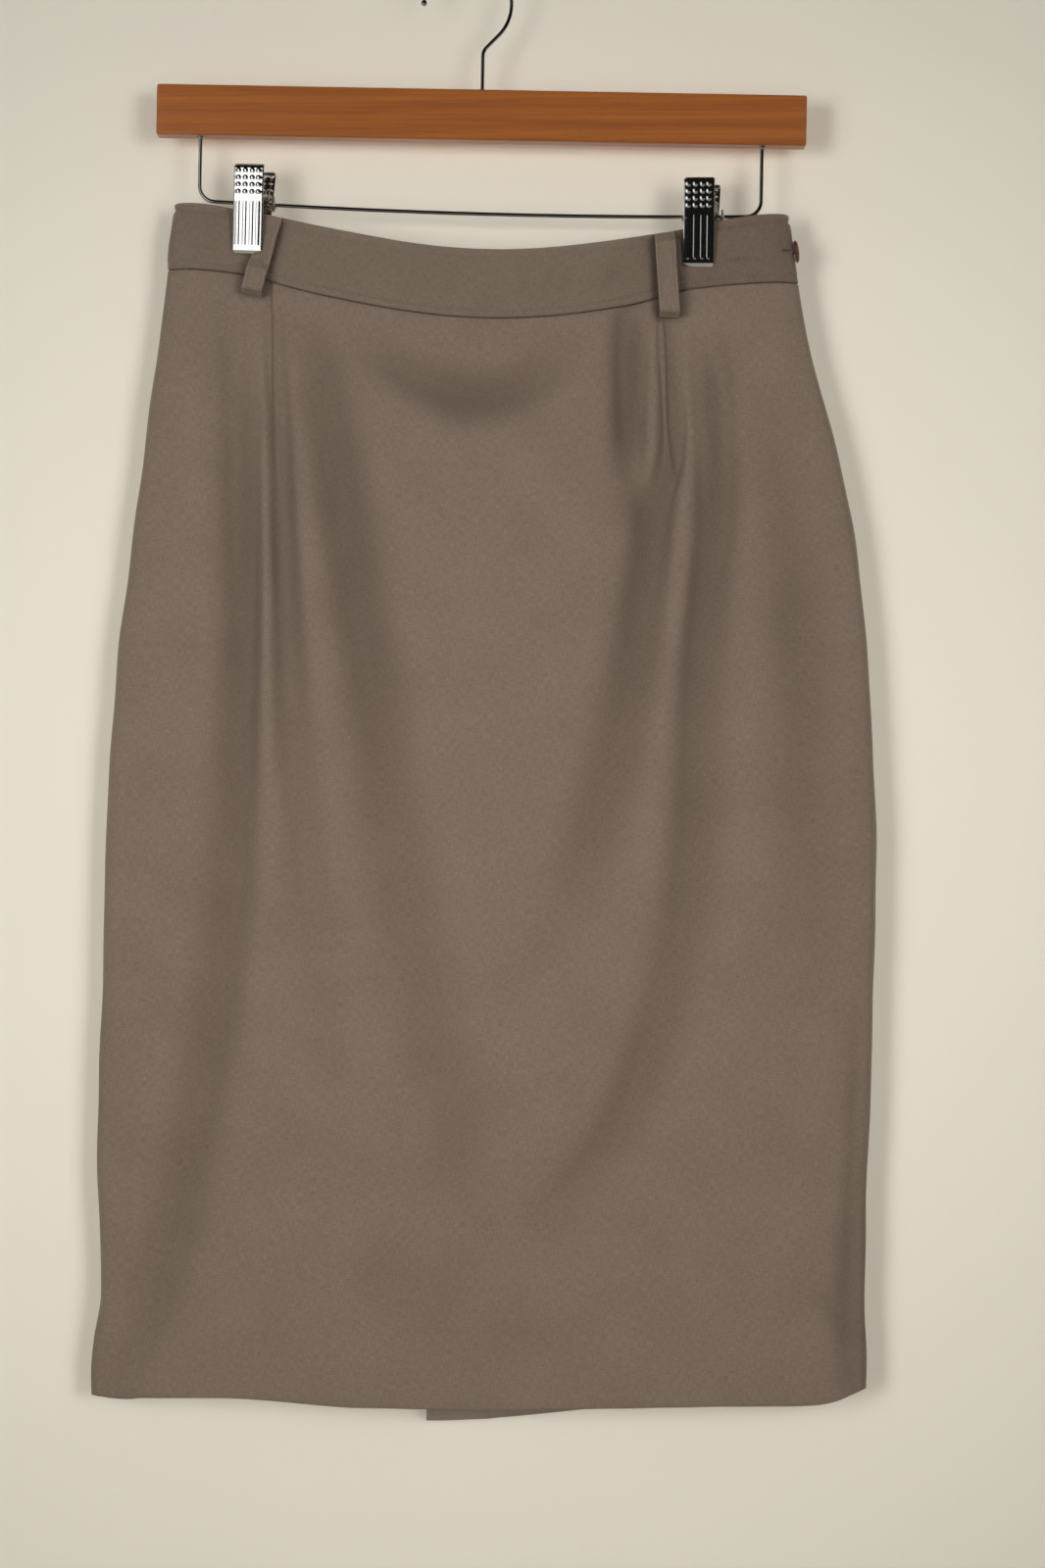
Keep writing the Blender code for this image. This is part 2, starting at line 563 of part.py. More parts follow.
def back_panel_left():
    rows = panel_rows()
    first_vent_row = rows.index(VENT_TOP)

    def turns_at(drop):
        gap = math.degrees(SEAM_GAP / 2 / half_width(160.0, drop))
        start = behind(1, ZIP_BEHIND + zip_half_gap(drop), drop)
        flap = [turn_of(-UNDERLAP * (i + 1) / FLAP_COLUMNS, drop, back=True) for i in range(FLAP_COLUMNS)]
        return back_turns(drop, start, 180.0 - gap) + flap

    def layer_point(turn, drop, out):
        """The lower layer of the vent lies inside the wearer's right back, and droops."""
        across = half_width(turn, drop) * math.sin(math.radians(turn))
        tuck = ease(*FLAP_TUCK, across) * ease(VENT_TOP - ROW_ABOVE_VENT, VENT_TOP, drop)
        droop = VENT_DROOP * (1 - ease(-UNDERLAP, VENT_DROOP_REACH, across)) * ease(VENT_TOP, LENGTH, drop)
        return cloth_point(turn, drop, out - (CLOTH + LAYER_GAP) * tuck) - Vector((0.0, 0.0, droop))

    outer = [[layer_point(turn, drop, CLOTH) for turn in turns_at(drop)] for drop in rows]
    inner = [[layer_point(turn, drop, 0.0) for turn in turns_at(drop)] for drop in rows]
    flap_column = len(outer[0]) - 1 - FLAP_COLUMNS
    cells = {(row, column) for row in range(len(rows) - 1) for column in range(len(outer[0]) - 1)
             if column < flap_column or row >= first_vent_row}
    shell("back_panel_left", outer, inner, "wool", cells)


def band_front():
    def turns_at(drop):
        right = [behind(-1, distance, drop) for distance in (SEAM_BEHIND - SEAM_GAP / 2, RIGHT_EDGE_COLUMN)]
        left = [behind(1, distance, drop) for distance in LEFT_EDGE_COLUMNS + LAP_COLUMNS + [BAND_LAP]]
        return right + across_turns() + left

    cloth_shell("band_front", band_rows(), turns_at, BAND_CLOTH)


def band_back():
    def turns_at(drop):
        return back_turns(drop, behind(1, BAND_UNDERLAP_END, drop),
                          360.0 + behind(-1, SEAM_BEHIND + SEAM_GAP / 2, drop))

    def under(turn, drop):
        """The end that carries the button runs inside the front band's end."""
        distance = half_width(turn, drop) * (1 - math.sin(math.radians(turn)))
        hidden = ease(BAND_LAP + BAND_TUCK[0], BAND_LAP + BAND_TUCK[1], distance) if turn < 180.0 else 0.0
        return -(BAND_CLOTH + LAYER_GAP) * hidden

    cloth_shell("band_back", band_rows(), turns_at, BAND_CLOTH, shift=under)


def belt_loop(name, top, foot, flat, back):
    """A strap from the waist edge to just below the band, standing off it."""
    outer, inner = [], []
    for step in range(LOOP_STEPS + 1):
        share = step / LOOP_STEPS
        across = top[0] + (foot[0] - top[0]) * share
        drop = top[1] + (foot[1] - top[1]) * share
        rise = ease(flat, flat + LOOP_BEND * (1 - flat), share) * (1 - ease(LOOP_FOOT_BEND, 1.0, share))
        surface = BAND_CLOTH + LAYER_GAP + (LOOP_STAND - LAYER_GAP) * rise
        sides = (-LOOP_WIDTH / 2, 0.0, LOOP_WIDTH / 2)
        turns = sorted(turn_of(across + side, drop, back) for side in sides)
        outer.append([cloth_point(turn, drop, surface + LOOP_CLOTH) for turn in turns])
        inner.append([cloth_point(turn, drop, surface) for turn in turns])
    shell(name, outer, inner, "wool")


# ---------------------------------------------------------------- zip and button
def zip_tape():
    def turns_at(drop):
        return [behind(1, ZIP_BEHIND + TAPE_WIDTH * share, drop) for share in (-0.5, -0.2, 0.2, 0.5)]

    rows = drops(BAND_HEIGHT + TAPE_BELOW_BAND, BAND_HEIGHT + ZIP_LENGTH + TAPE_PAST_ZIP, ROWS_OF_TAPE)
    cloth_shell("zip_tape", rows, turns_at, TAPE_THICKNESS, "zip_cloth",
                shift=lambda turn, drop: -(TAPE_THICKNESS + LAYER_GAP))


def zip_place():
    """The slider's own frame: X along the waist, -Y out of the cloth."""
    made = empty("zip_place")
    stand_on_cloth(made, behind(1, ZIP_BEHIND, SLIDER_DROP), SLIDER_DROP, 0.0)
    return made


def zip_slider(frame):
    """Its body sits in the open top of the seam, and two ears hold the tab's axle."""
    outline = rounded_outline(SLIDER_WIDTH, -SLIDER_HEIGHT / 2, SLIDER_HEIGHT / 2, SLIDER_CORNER)
    body = slab("zip_slider", outline, SLIDER_DEPTH, "zip_metal")
    place(body, (0.0, -SLIDER_OUT, 0.0), parent=frame)
    reach = AXLE_OUT + EAR_PAST_AXLE - SLIDER_OUT + EAR_SUNK
    half = (EARS_APART + EAR_WIDTH) / 2
    ear_outline = rounded_outline(EAR_WIDTH, -EAR_HEIGHT / 2, EAR_HEIGHT / 2, EAR_CORNER, 2)
    for name, middle in (("ear_right", -half), ("ear_left", half)):
        ear = slab(name, ear_outline, reach, "zip_metal")
        place(ear, (middle, -SLIDER_OUT + EAR_SUNK - reach, AXLE_ABOVE), parent=frame)
        combine(body, ear, "UNION")
    axle = rod("pull_axle", AXLE_RADIUS, -half, half, "zip_metal")
    place(axle, (0.0, -AXLE_OUT, AXLE_ABOVE), (0.0, 90.0, 0.0), frame)
    combine(body, axle, "UNION")


def zip_pull(frame):
    """A tab that hangs from the axle, with its origin there."""
    neck = PULL_EYE_WIDTH / 2
    side = PULL_WIDTH / 2
    foot = arc((0.0, -PULL_LENGTH + side), side, 180.0, 360.0, 8)
    outline = foot + [(side, -PULL_NECK), (neck, -PULL_EYE_RADIUS), (neck, 0.0), (-neck, 0.0),
                      (-neck, -PULL_EYE_RADIUS), (-side, -PULL_NECK)]
    tab = slab("zip_pull", outline, PULL_THICKNESS, "zip_metal")
    tab.data.transform(Matrix.Translation((0.0, -PULL_THICKNESS / 2 * METRES, 0.0)))
    place(tab, (0.0, -AXLE_OUT, AXLE_ABOVE), parent=frame)
    eye = rod("pull_eye", PULL_EYE_RADIUS, -neck, neck, "zip_metal", 20)
    bore = rod("pull_bore", PULL_BORE, -PULL_WIDTH, PULL_WIDTH, "zip_metal")
    for guide, operation in ((eye, "UNION"), (bore, "DIFFERENCE")):
        place(guide, (0.0, -AXLE_OUT, AXLE_ABOVE), (0.0, 90.0, 0.0), frame)
        combine(tab, guide, operation)


def button():
    profile = ((0.0, 0.0), (0.8, 0.0), (1.0, 0.18), (1.0, 0.62), (0.86, 1.0), (0.0, 1.0))
    steps = 24
    points = [(0.0, 0.0, 0.0), (0.0, -BUTTON_THICKNESS, 0.0)]
    for i in range(steps):
        angle = 2 * math.pi * i / steps
        for radius, depth in profile[1:-1]:
            points.append((BUTTON_RADIUS * radius * math.cos(angle), -BUTTON_THICKNESS * depth,
                           BUTTON_RADIUS * radius * math.sin(angle)))
    count = len(profile) - 2
    faces = []
    for i in range(steps):
        here, there = 2 + i * count, 2 + (i + 1) % steps * count
        faces.append([0, there, here])
        faces.append([1, here + count - 1, there + count - 1])
        faces += [[here + k, there + k, there + k + 1, here + k + 1] for k in range(count - 1)]
    made = add_object("button", points, faces, "horn")
    stand_on_cloth(made, BUTTON_TURN, BUTTON_DROP, BAND_CLOTH + LAYER_GAP)


# ---------------------------------------------------------------- the hanger
def hanger_frame():
    return place(empty("hanger_frame"), (0.0, 0.0, 0.0), (0.0, HANGER_LEAN, 0.0))


def arc(centre, radius, start, end, steps):
    """Points on an arc in X and Z, between two angles in degrees."""
    return [(centre[0] + radius * math.cos(math.radians(start + (end - start) * i / steps)),
             centre[1] + radius * math.sin(math.radians(start + (end - start) * i / steps)))
            for i in range(steps + 1)]


def hanger_hook(frame):
    centre = (0.0, WIRE_RADIUS - HOOK_RADIUS)
    stem = BAR_CENTRE[0]
    bar_top = BAR_CENTRE[1] + BAR_SIZE[2] / 2
    over = arc(centre, HOOK_RADIUS, -HOOK_SLANT, HOOK_END, 26)
    # The stem's bend starts a slanted run that meets the arc where their directions agree.
    meet = over[0]
    corner_z = meet[1] - (meet[0] - stem) / math.tan(math.radians(HOOK_SLANT))
    bend_centre = (stem + HOOK_BEND, corner_z - HOOK_BEND * math.tan(math.radians(HOOK_SLANT / 2)))
    path = [(stem, bar_top - WIRE_IN_BAR), (stem, bar_top + HOOK_STEM)]
    path += arc(bend_centre, HOOK_BEND, 180.0, 180.0 - HOOK_SLANT, 5) + over
    swell = [1.0] * (len(path) - len(HOOK_TIP)) + list(HOOK_TIP)
    wire("hanger_hook", path, frame, swell)


def rail_point(share):
    """The middle of the wire, at a share of the way along its lower run."""
    half = RAIL_HALF_SPAN - RAIL_BEND
    sag = RAIL_SAG * 4 * share * (1 - share)
    return BAR_CENTRE[0] + half * (2 * share - 1), RAIL_ENDS[0] + (RAIL_ENDS[1] - RAIL_ENDS[0]) * share - sag


def rail_height(x):
    """z of the wire's middle, in the hanger's own frame."""
    half = RAIL_HALF_SPAN - RAIL_BEND
    return rail_point((x - BAR_CENTRE[0] + half) / (2 * half))[1]


def hanger_rail(frame):
    bar_foot = BAR_CENTRE[1] - BAR_SIZE[2] / 2
    left, right = BAR_CENTRE[0] - RAIL_HALF_SPAN, BAR_CENTRE[0] + RAIL_HALF_SPAN
    steps = 14
    path = [(left, bar_foot + WIRE_IN_BAR), (left, bar_foot - RAIL_LEG)]
    path += arc((left + RAIL_BEND, RAIL_ENDS[0] + RAIL_BEND), RAIL_BEND, 180.0, 270.0, 6)
    path += [rail_point(i / steps) for i in range(1, steps)]
    path += arc((right - RAIL_BEND, RAIL_ENDS[1] + RAIL_BEND), RAIL_BEND, 270.0, 360.0, 6)
    path += [(right, bar_foot - RAIL_LEG), (right, bar_foot + WIRE_IN_BAR)]
    wire("hanger_rail", path, frame)


def hanger_bar(frame):
    outline = rounded_outline(BAR_SIZE[0], -BAR_SIZE[2] / 2, BAR_SIZE[2] / 2, BAR_CORNER, 1)
    bar = slab("hanger_bar", outline, BAR_SIZE[1], "cherry")
    place(bar, (BAR_CENTRE[0], -BAR_SIZE[1] / 2, BAR_CENTRE[1]), parent=frame)
    bevel = bar.modifiers.new("rounded edges", "BEVEL")
    bevel.width = BAR_ROUND * METRES
    bevel.segments = 3
    bevel.limit_method = "ANGLE"
    bevel.angle_limit = math.radians(60.0)
    bar_top = BAR_CENTRE[1] + BAR_SIZE[2] / 2
    bar_foot = BAR_CENTRE[1] - BAR_SIZE[2] / 2
    holes = {"hook_hole": (0.0, bar_top), "rail_hole_right": (-RAIL_HALF_SPAN, bar_foot),
             "rail_hole_left": (RAIL_HALF_SPAN, bar_foot)}
    deep = WIRE_IN_BAR + LAYER_GAP
    for name, (x, z) in holes.items():
        hole = rod(name, WIRE_HOLE, -deep, deep, "cherry", 12)
        place(hole, (BAR_CENTRE[0] + x, 0.0, z), parent=frame)
        combine(bar, hole, "DIFFERENCE")


def clip(name, x, lean, front_jaw, frame):
    """Two sprung plates on the rail; the cloth is held between their feet."""
    pivot = place(empty(name + "_pivot"), (x, 0.0, rail_height(x)), (0.0, lean, CLIP_TURN), frame)
    plate_outline = rounded_outline(PLATE_WIDTH, 0.0, PLATE_TOP + PLATE_FOOT, PLATE_CORNER)
    for side, jaw in (("front", front_jaw), ("back", BACK_JAW)):
        plate = slab("%s_%s" % (name, side), plate_outline, PLATE_THICKNESS, "chrome")
        tilt = math.degrees(math.atan((PLATE_SPREAD - jaw) / (PLATE_TOP + PLATE_FOOT)))
        if side == "front":
            place(plate, (0.0, -jaw - PLATE_THICKNESS, -PLATE_FOOT), (tilt, 0.0, 0.0), pivot)
        else:
            place(plate, (0.0, jaw + PLATE_THICKNESS, -PLATE_FOOT), (tilt, 0.0, 180.0), pivot)
    half, flange = BARREL_HALF_LENGTH, BARREL_HALF_LENGTH - BARREL_FLANGE
    profile = [(-half, BARREL_BORE), (-half, BARREL_RADIUS), (-flange, BARREL_RADIUS),
               (-flange, SPRING_RADIUS), (flange, SPRING_RADIUS), (flange, BARREL_RADIUS),
               (half, BARREL_RADIUS), (half, BARREL_BORE)]
    barrel = ring_solid(name + "_barrel", profile, "chrome")
    place(barrel, (x + BARREL_OFFSET, 0.0, rail_height(x + BARREL_OFFSET)), parent=frame)


def build():
    for old in list(bpy.data.objects):
        bpy.data.objects.remove(old)
    front_panel()
    back_panel_right()
    back_panel_left()
    band_front()
    band_back()
    for name, row in LOOPS.items():
        belt_loop(name, **row)
    zip_tape()
    zip_frame = zip_place()
    zip_slider(zip_frame)
    zip_pull(zip_frame)
    button()
    frame = hanger_frame()
    hanger_bar(frame)
    hanger_hook(frame)
    hanger_rail(frame)
    for name, (x, lean, front_jaw) in CLIPS.items():
        clip(name, x, lean, front_jaw, frame)


build()
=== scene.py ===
import math

import bpy
import numpy as np
from mathutils import Euler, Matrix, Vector


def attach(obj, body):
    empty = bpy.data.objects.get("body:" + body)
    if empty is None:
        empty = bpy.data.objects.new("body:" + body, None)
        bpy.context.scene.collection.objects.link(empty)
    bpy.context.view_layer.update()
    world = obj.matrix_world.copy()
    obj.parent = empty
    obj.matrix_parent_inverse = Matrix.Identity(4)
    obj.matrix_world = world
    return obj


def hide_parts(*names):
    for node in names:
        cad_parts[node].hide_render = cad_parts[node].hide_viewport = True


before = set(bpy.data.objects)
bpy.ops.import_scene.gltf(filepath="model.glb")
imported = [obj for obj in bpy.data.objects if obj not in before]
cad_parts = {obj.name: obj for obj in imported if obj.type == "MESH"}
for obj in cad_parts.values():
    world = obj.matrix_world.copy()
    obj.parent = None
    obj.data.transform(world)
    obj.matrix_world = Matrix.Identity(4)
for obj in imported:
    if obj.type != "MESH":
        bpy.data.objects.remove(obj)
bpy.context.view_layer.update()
metres = 0.001
print("stage: frame loaded")

# The skirt's own sizes
skirt = {
    "length": 652.0, "bandHeight": 39.0, "cloth": 1.2, "bandCloth": 2.0, "gap": 0.3,
    "seamBehind": 8.0, "zipBehind": 14.0, "zipOpening": 2.25, "zipOpeningEnd": (50.5, 56.5),
    "ventLength": 180.0, "underlap": 31.5, "ventDroop": 11.7, "ventDroopReach": 142.0,
    "flapTuck": (10.0, 1.5), "bandLap": 28.0, "bandUnderlapEnd": 5.0,
    "waistX": 8.0, "waistZ": -135.3, "waistSlope": 0.0185, "backLower": 3.0,
    "sagCentre": 3.4, "sagReach": 0.976, "sagPower": 1.81,
    "clipX": (-129.0, 118.0), "clipTurn": -12.0, "clipTwistReach": 16.0, "clipTwistEnd": 80.0,
    "pinchOutside": 0.6, "foldsEndAtEdge": 12, "deepestFold": 0.8, "smileReach": 14.0,
    "hemRiseHeight": 60.0, "seamLiftEnd": 125.0,
}

# One row for each section down the skirt
drop, right, left, front, back, pinch, pinchWidth, sag = range(8)
sections = (
    (0, 166.8, 165.5, 13, 9, 0.97, 44, 24.1),
    (24, 170.1, 168.6, 13.5, 9.5, 0.97, 44, 24.3),
    (39, 171.4, 171, 14, 10, 0.93, 44, 24.6),
    (56, 173.3, 173.9, 15.5, 11, 0.82, 44, 23.6),
    (80, 176.8, 179.2, 17, 12, 0.68, 45, 20.5),
    (120, 182.3, 190.3, 18.5, 13.5, 0.46, 46, 15),
    (165, 188.5, 199.9, 19.5, 15, 0.28, 47, 11),
    (207, 193.7, 206.1, 20, 16, 0.16, 48, 9),
    (250, 199.1, 209.8, 20.5, 16.5, 0.08, 49, 7),
    (315, 203.9, 213.1, 20.5, 16.5, 0, 50, 5),
    (380, 206.1, 213.6, 20, 16, 0, 50, 4),
    (465, 208.8, 211.5, 18.5, 15, 0, 50, 3),
    (530, 209.8, 208.8, 17, 14, 0, 50, 2),
    (595, 208.2, 207.7, 15.5, 13, 0, 50, 2),
    (615, 210.9, 207.7, 15, 12.5, 0, 50, 2),
    (635, 213.1, 208.2, 14.5, 12, 0, 50, 2),
    (652, 213.3, 208.2, 14, 12, 0, 50, 2),
)

# The long folds: fall below the waist, x from the centre, depth, and reach to either side
fall, across, depth, reachRight, reachLeft = range(5)
frontFolds = {
    "outerRight": (
        (50, -131.5, 0, 12, 7), (100, -129.5, 3, 12, 7), (166, -128, 5, 13, 7),
        (262, -129, 4.8, 14, 8), (341, -134, 4.2, 16, 10), (421, -141, 4, 18, 12),
        (501, -155, 3.8, 18, 13), (560, -169, 4, 18, 15), (605, -181, 3.6, 17, 15),
        (650, -197, 1.6, 14, 14)),
    "dartRight": (
        (48, -115, 0, 6, 5), (60, -114.5, 1.5, 6, 5), (145, -110, 3.9, 7, 7),
        (208, -107.5, 4.2, 7, 8), (262, -105, 3.6, 9, 10), (341, -97, 2.5, 11, 12),
        (421, -89, 1.6, 13, 13), (501, -76, 1, 14, 14), (560, -64, 0, 14, 14)),
    "innerRight": (
        (55, -95, 0, 13, 15), (85, -90, 3.5, 13, 15), (166, -75.5, 5, 14, 17),
        (208, -69.5, 5, 14, 17), (262, -59.5, 4.5, 15, 18), (341, -48.5, 3.5, 16, 20),
        (421, -33.5, 2.8, 18, 20), (501, -13, 2.6, 18, 18), (545, -7, 1.8, 18, 18),
        (590, 2, 0, 18, 20)),
    "innerLeft": (
        (46, 84, 0, 10, 7), (66, 83, 4.4, 10, 7), (120, 81.5, 5, 10, 7),
        (155, 84, 2.2, 12, 7), (180, 86, 0, 12, 7)),
    "dartLeft": (
        (50, 100, 0, 5, 5), (70, 101.5, 3.4, 6, 5), (130, 104, 4.6, 8, 6),
        (166, 96, 4.9, 12, 8), (208, 89.5, 5, 14, 10), (262, 82, 4.5, 16, 12),
        (341, 63.5, 3.5, 19, 15), (385, 52, 2, 20, 16), (440, 42, 0, 20, 16)),
    "outerLeft": (
        (60, 121, 0, 8, 10), (100, 124, 4.6, 8, 10), (166, 126, 5, 9, 12),
        (208, 122, 5, 9, 13), (262, 117.5, 4.5, 11, 15), (341, 114.5, 4, 13, 17),
        (421, 104.5, 3.4, 15, 17), (501, 73, 3.4, 15, 17), (540, 47, 2.4, 16, 18),
        (580, 28, 0, 16, 18)),
}
backFolds = {
    "right": (
        (60, -118, 0, 12, 12), (120, -116, 4, 12, 13), (260, -108, 4, 15, 15),
        (400, -88, 2.5, 18, 18), (520, -60, 0, 18, 18)),
    "left": (
        (60, 108, 0, 12, 12), (130, 112, 4.5, 13, 12), (240, 110, 4, 14, 14),
        (370, 96, 3, 18, 18), (490, 72, 0, 18, 18)),
}
# The slack of the sagging waist, below the band: x from the centre, fall, depth
smile = ((-82, 62, 0), (-50, 86, 3), (-7, 104, 4.8), (30, 95, 3.5), (64, 72, 0))
# The clips draw the waist seam up: x from the centre, rise
seamLine = (
    (-171, 2.6), (-150, 3.4), (-130, 4.7), (-114, 3.4), (-85, 2.3), (0, 2), (60, 2.4),
    (92, 4), (108, 6.3), (125, 4.6), (145, 2.4), (171, 1))
# The hem's line: x from the centre, rise
hemLine = (
    (-213, 2.6), (-198, 1.6), (-180, 2.6), (-136, 3.8), (-104, 2.1), (-70, 0),
    (120, -0.5), (180, -1.5), (192, 0), (203, 3.9), (208, 6))


# A column of a table on a smooth curve through its rows
def read(table, column, at):
    rows = np.array(table)
    x, y = rows[:, 0], rows[:, column]
    last = len(x) - 1
    before, after = np.maximum(np.arange(last + 1) - 1, 0), np.minimum(np.arange(last + 1) + 1, last)
    slope = (y[after] - y[before]) / (x[after] - x[before])
    at = np.clip(at, x[0], x[-1])
    low = np.clip(np.searchsorted(x, at, side="right") - 1, 0, last - 1)
    step = x[low + 1] - x[low]
    t = (at - x[low]) / step
    return ((1 + 2 * t) * (1 - t) ** 2 * y[low] + t * (1 - t) ** 2 * step * slope[low]
            + t * t * (3 - 2 * t) * y[low + 1] - t * t * (1 - t) * step * slope[low + 1])


def ease(low, high, value):
    t = np.clip((value - low) / (high - low), 0.0, 1.0)
    return t * t * (3 - 2 * t)


def halfWidth(turn, down):
    return np.where(np.sin(np.radians(turn)) > 0, read(sections, left, down), read(sections, right, down))


# The place across, from the skirt's centre
def acrossOf(turn, down):
    return halfWidth(turn, down) * np.sin(np.radians(turn))


def atBack(turn):
    return np.cos(np.radians(turn)) < 0


def hollows(folds, x, level):
    total = np.zeros(np.shape(x))
    for rows in folds.values():
        there = (level > rows[0][fall]) & (level < rows[-1][fall])
        away = x - read(rows, across, level)
        reach = np.where(away > 0, read(rows, reachLeft, level), read(rows, reachRight, level))
        total += np.where(there, read(rows, depth, level) * np.exp(-(away / reach) ** 2), 0.0)
    return total


def seamLift(x, down):
    share = ease(0.0, skirt["bandHeight"], down) * (1 - ease(skirt["bandHeight"], skirt["seamLiftEnd"], down))
    return read(seamLine, 1, x) * share


# World z of the cloth
def heightOf(turn, x, down):
    share = (x - skirt["sagCentre"]) / (skirt["sagReach"] * halfWidth(turn, down))
    sagging = read(sections, sag, down) * np.maximum(0.0, 1 - share * share) ** skirt["sagPower"]
    lower = skirt["waistSlope"] * x + skirt["backLower"] * np.maximum(0.0, -np.cos(np.radians(turn)))
    rise = read(hemLine, 1, x) * ease(skirt["length"] - skirt["hemRiseHeight"], skirt["length"], down)
    return skirt["waistZ"] - down - sagging - lower * (1 - down / skirt["length"]) + rise + seamLift(x, down)


# How far the cloth stands from the middle between the front and the back, before its folds
def standOff(turn, down, x):
    flatness = np.cos(np.radians(turn))
    deep = np.where(flatness > 0, read(sections, front, down), read(sections, back, down))
    pinched = np.zeros(x.shape)
    for clipX in skirt["clipX"]:
        away = x - clipX
        width = read(sections, pinchWidth, down) * np.where(away * clipX > 0, skirt["pinchOutside"], 1.0)
        pinched += np.exp(-(away / width) ** 2)
    return deep * np.abs(flatness) * (1 - np.minimum(1.0, pinched) * read(sections, pinch, down))


# How far the folds draw the cloth in
def drawnIn(turn, down, x):
    level = skirt["waistZ"] - heightOf(turn, x, down)
    smileAway = (level - read(smile, 1, x)) / skirt["smileReach"]
    drawn = np.where(atBack(turn), hollows(backFolds, x, level),
                     hollows(frontFolds, x, level) + read(smile, 2, x) * np.exp(-smileAway ** 2))
    return drawn * (1 - np.abs(np.sin(np.radians(turn))) ** skirt["foldsEndAtEdge"])


# The inner face of the cloth, as the CAD solids have it
def innerPoint(turn, down):
    turn, down = np.broadcast_arrays(np.asarray(turn, float), np.asarray(down, float))
    x = acrossOf(turn, down)
    stands = standOff(turn, down, x)
    stands = stands - np.minimum(drawnIn(turn, down, x), skirt["deepestFold"] * stands)
    besides = [x - clipX for clipX in skirt["clipX"]]
    twist = sum(beside * np.exp(-(beside / skirt["clipTwistReach"]) ** 2) for beside in besides)
    shown = 1 - ease(skirt["bandHeight"], skirt["clipTwistEnd"], down)
    turned = math.tan(math.radians(skirt["clipTurn"])) * twist * shown
    y = np.where(atBack(turn), stands, -stands) + turned
    return np.stack([skirt["waistX"] + x, y, heightOf(turn, x, down)], -1)


# The turn between two places that give the cloth's direction
turnStep = 0.4


def outward(turn, down):
    along = innerPoint(turn + turnStep, down) - innerPoint(turn - turnStep, down)
    level = np.stack([along[..., 1], -along[..., 0], np.zeros(along.shape[:-1])], -1)
    return level / np.linalg.norm(level, axis=-1, keepdims=True)


def clothPoint(turn, down, out):
    turn, down, out = np.broadcast_arrays(*[np.asarray(v, float) for v in (turn, down, out)])
    return innerPoint(turn, down) + outward(turn, down) * out[..., None]


# The half width on the side of an x
def edgeBeside(x, down):
    return np.where(np.asarray(x) > 0, read(sections, left, down), read(sections, right, down))


def turnOf(x, down, isBack=False):
    turn = np.degrees(np.arcsin(np.clip(x / edgeBeside(x, down), -1.0, 1.0)))
    return 180.0 - turn if isBack else turn


# The turn of a place that distance behind a side edge; side is 1 at the wearer's left
def behind(side, distance, down):
    edge = read(sections, left if side > 0 else right, down)
    return side * (180.0 - np.degrees(np.arcsin(1 - distance / edge)))


# Creases of the scene's own, as soft troughs along lines
# Each row: x from the centre, fall (or drop on the band), depth, width; a ridge has a negative depth
frontCreases = {
    "rightEdgeDeep": (
        (204, 420, 0, 5), (203.5, 500, 2.8, 5), (201, 590, 4.6, 8), (202, 640, 3.4, 8)),
    "hemCorner": ((176, 588, 0, 5), (188, 600, 1.8, 6), (202, 618, 1, 6)),
    "softLeft": (
        (158, 80, 0, 15), (164, 150, 2.4, 16), (171, 215, 4.2, 16), (176, 290, 3.6, 17),
        (179, 380, 2, 20), (180, 460, 0, 20)),
    "lowCentre": (
        (-10, 560, 0, 12), (-19, 590, 1.9, 12), (-27, 622, 0.8, 12), (-30, 640, 0, 12)),
    "lowCentreLeft": (
        (-4, 604, 0, 14), (8, 616, 1.7, 14), (30, 618, 1.3, 13), (44, 622, 0, 13)),
    "lowRight": (
        (-80, 566, 0, 16), (-56, 580, 1.7, 16), (-38, 596, 0.8, 16), (-26, 606, 0, 14)),
    "ridgeRight": (
        (-121.5, 90, 0, 5), (-122, 160, -0.9, 5), (-120, 270, -0.9, 6), (-117, 360, 0, 8)),
}
backCreases = {
    "right": (
        (-150, 150, 0, 12), (-160, 300, 1.8, 16), (-176, 470, 1.4, 18),
        (-188, 560, 0, 16)),
    "left": (
        (152, 120, 0, 12), (166, 270, 1.6, 16), (172, 420, 1.6, 18), (182, 540, 0, 16)),
    "middleRight": ((-60, 90, 0, 14), (-48, 200, 1.3, 18), (-38, 330, 0, 20)),
    "middleLeft": ((55, 80, 0, 12), (44, 180, 1.5, 16), (30, 300, 0, 20)),
    "ventPull": ((10, 452, 0, 6), (34, 440, 1, 9), (62, 420, 0, 12)),
}
bandCreases = {
    "wrinkleA": ((20, 8, 0, 2.2), (22, 20, 0.45, 2.6), (23.5, 31, 0, 2.2)),
    "wrinkleB": ((37, 6, 0, 2), (36, 16, 0.5, 2.4), (33.5, 29, 0, 2.2)),
    "wrinkleC": ((48, 9, 0, 3), (44, 20, 0.5, 3.6), (40, 30, 0, 3)),
    "wrinkleD": ((66, 8, 0, 4), (71, 20, 0.6, 5), (62, 31, 0, 4)),
    "pullRight": ((-143, 26.5, 0, 1.8), (-150, 25.5, 0.35, 1.8), (-160, 23.5, 0, 1.8)),
    "pressedEnd": ((128, 23.8, 0, 1.5), (140, 24.6, 0.6, 1.5), (151.5, 26, 0.4, 1.5), (153, 26.2, 0, 1.5)),
    "pressedSide": ((153, 5, 0, 1.4), (153.4, 14, 0.5, 1.4), (153, 25, 0.2, 1.4), (152.8, 26, 0, 1.4)),
}


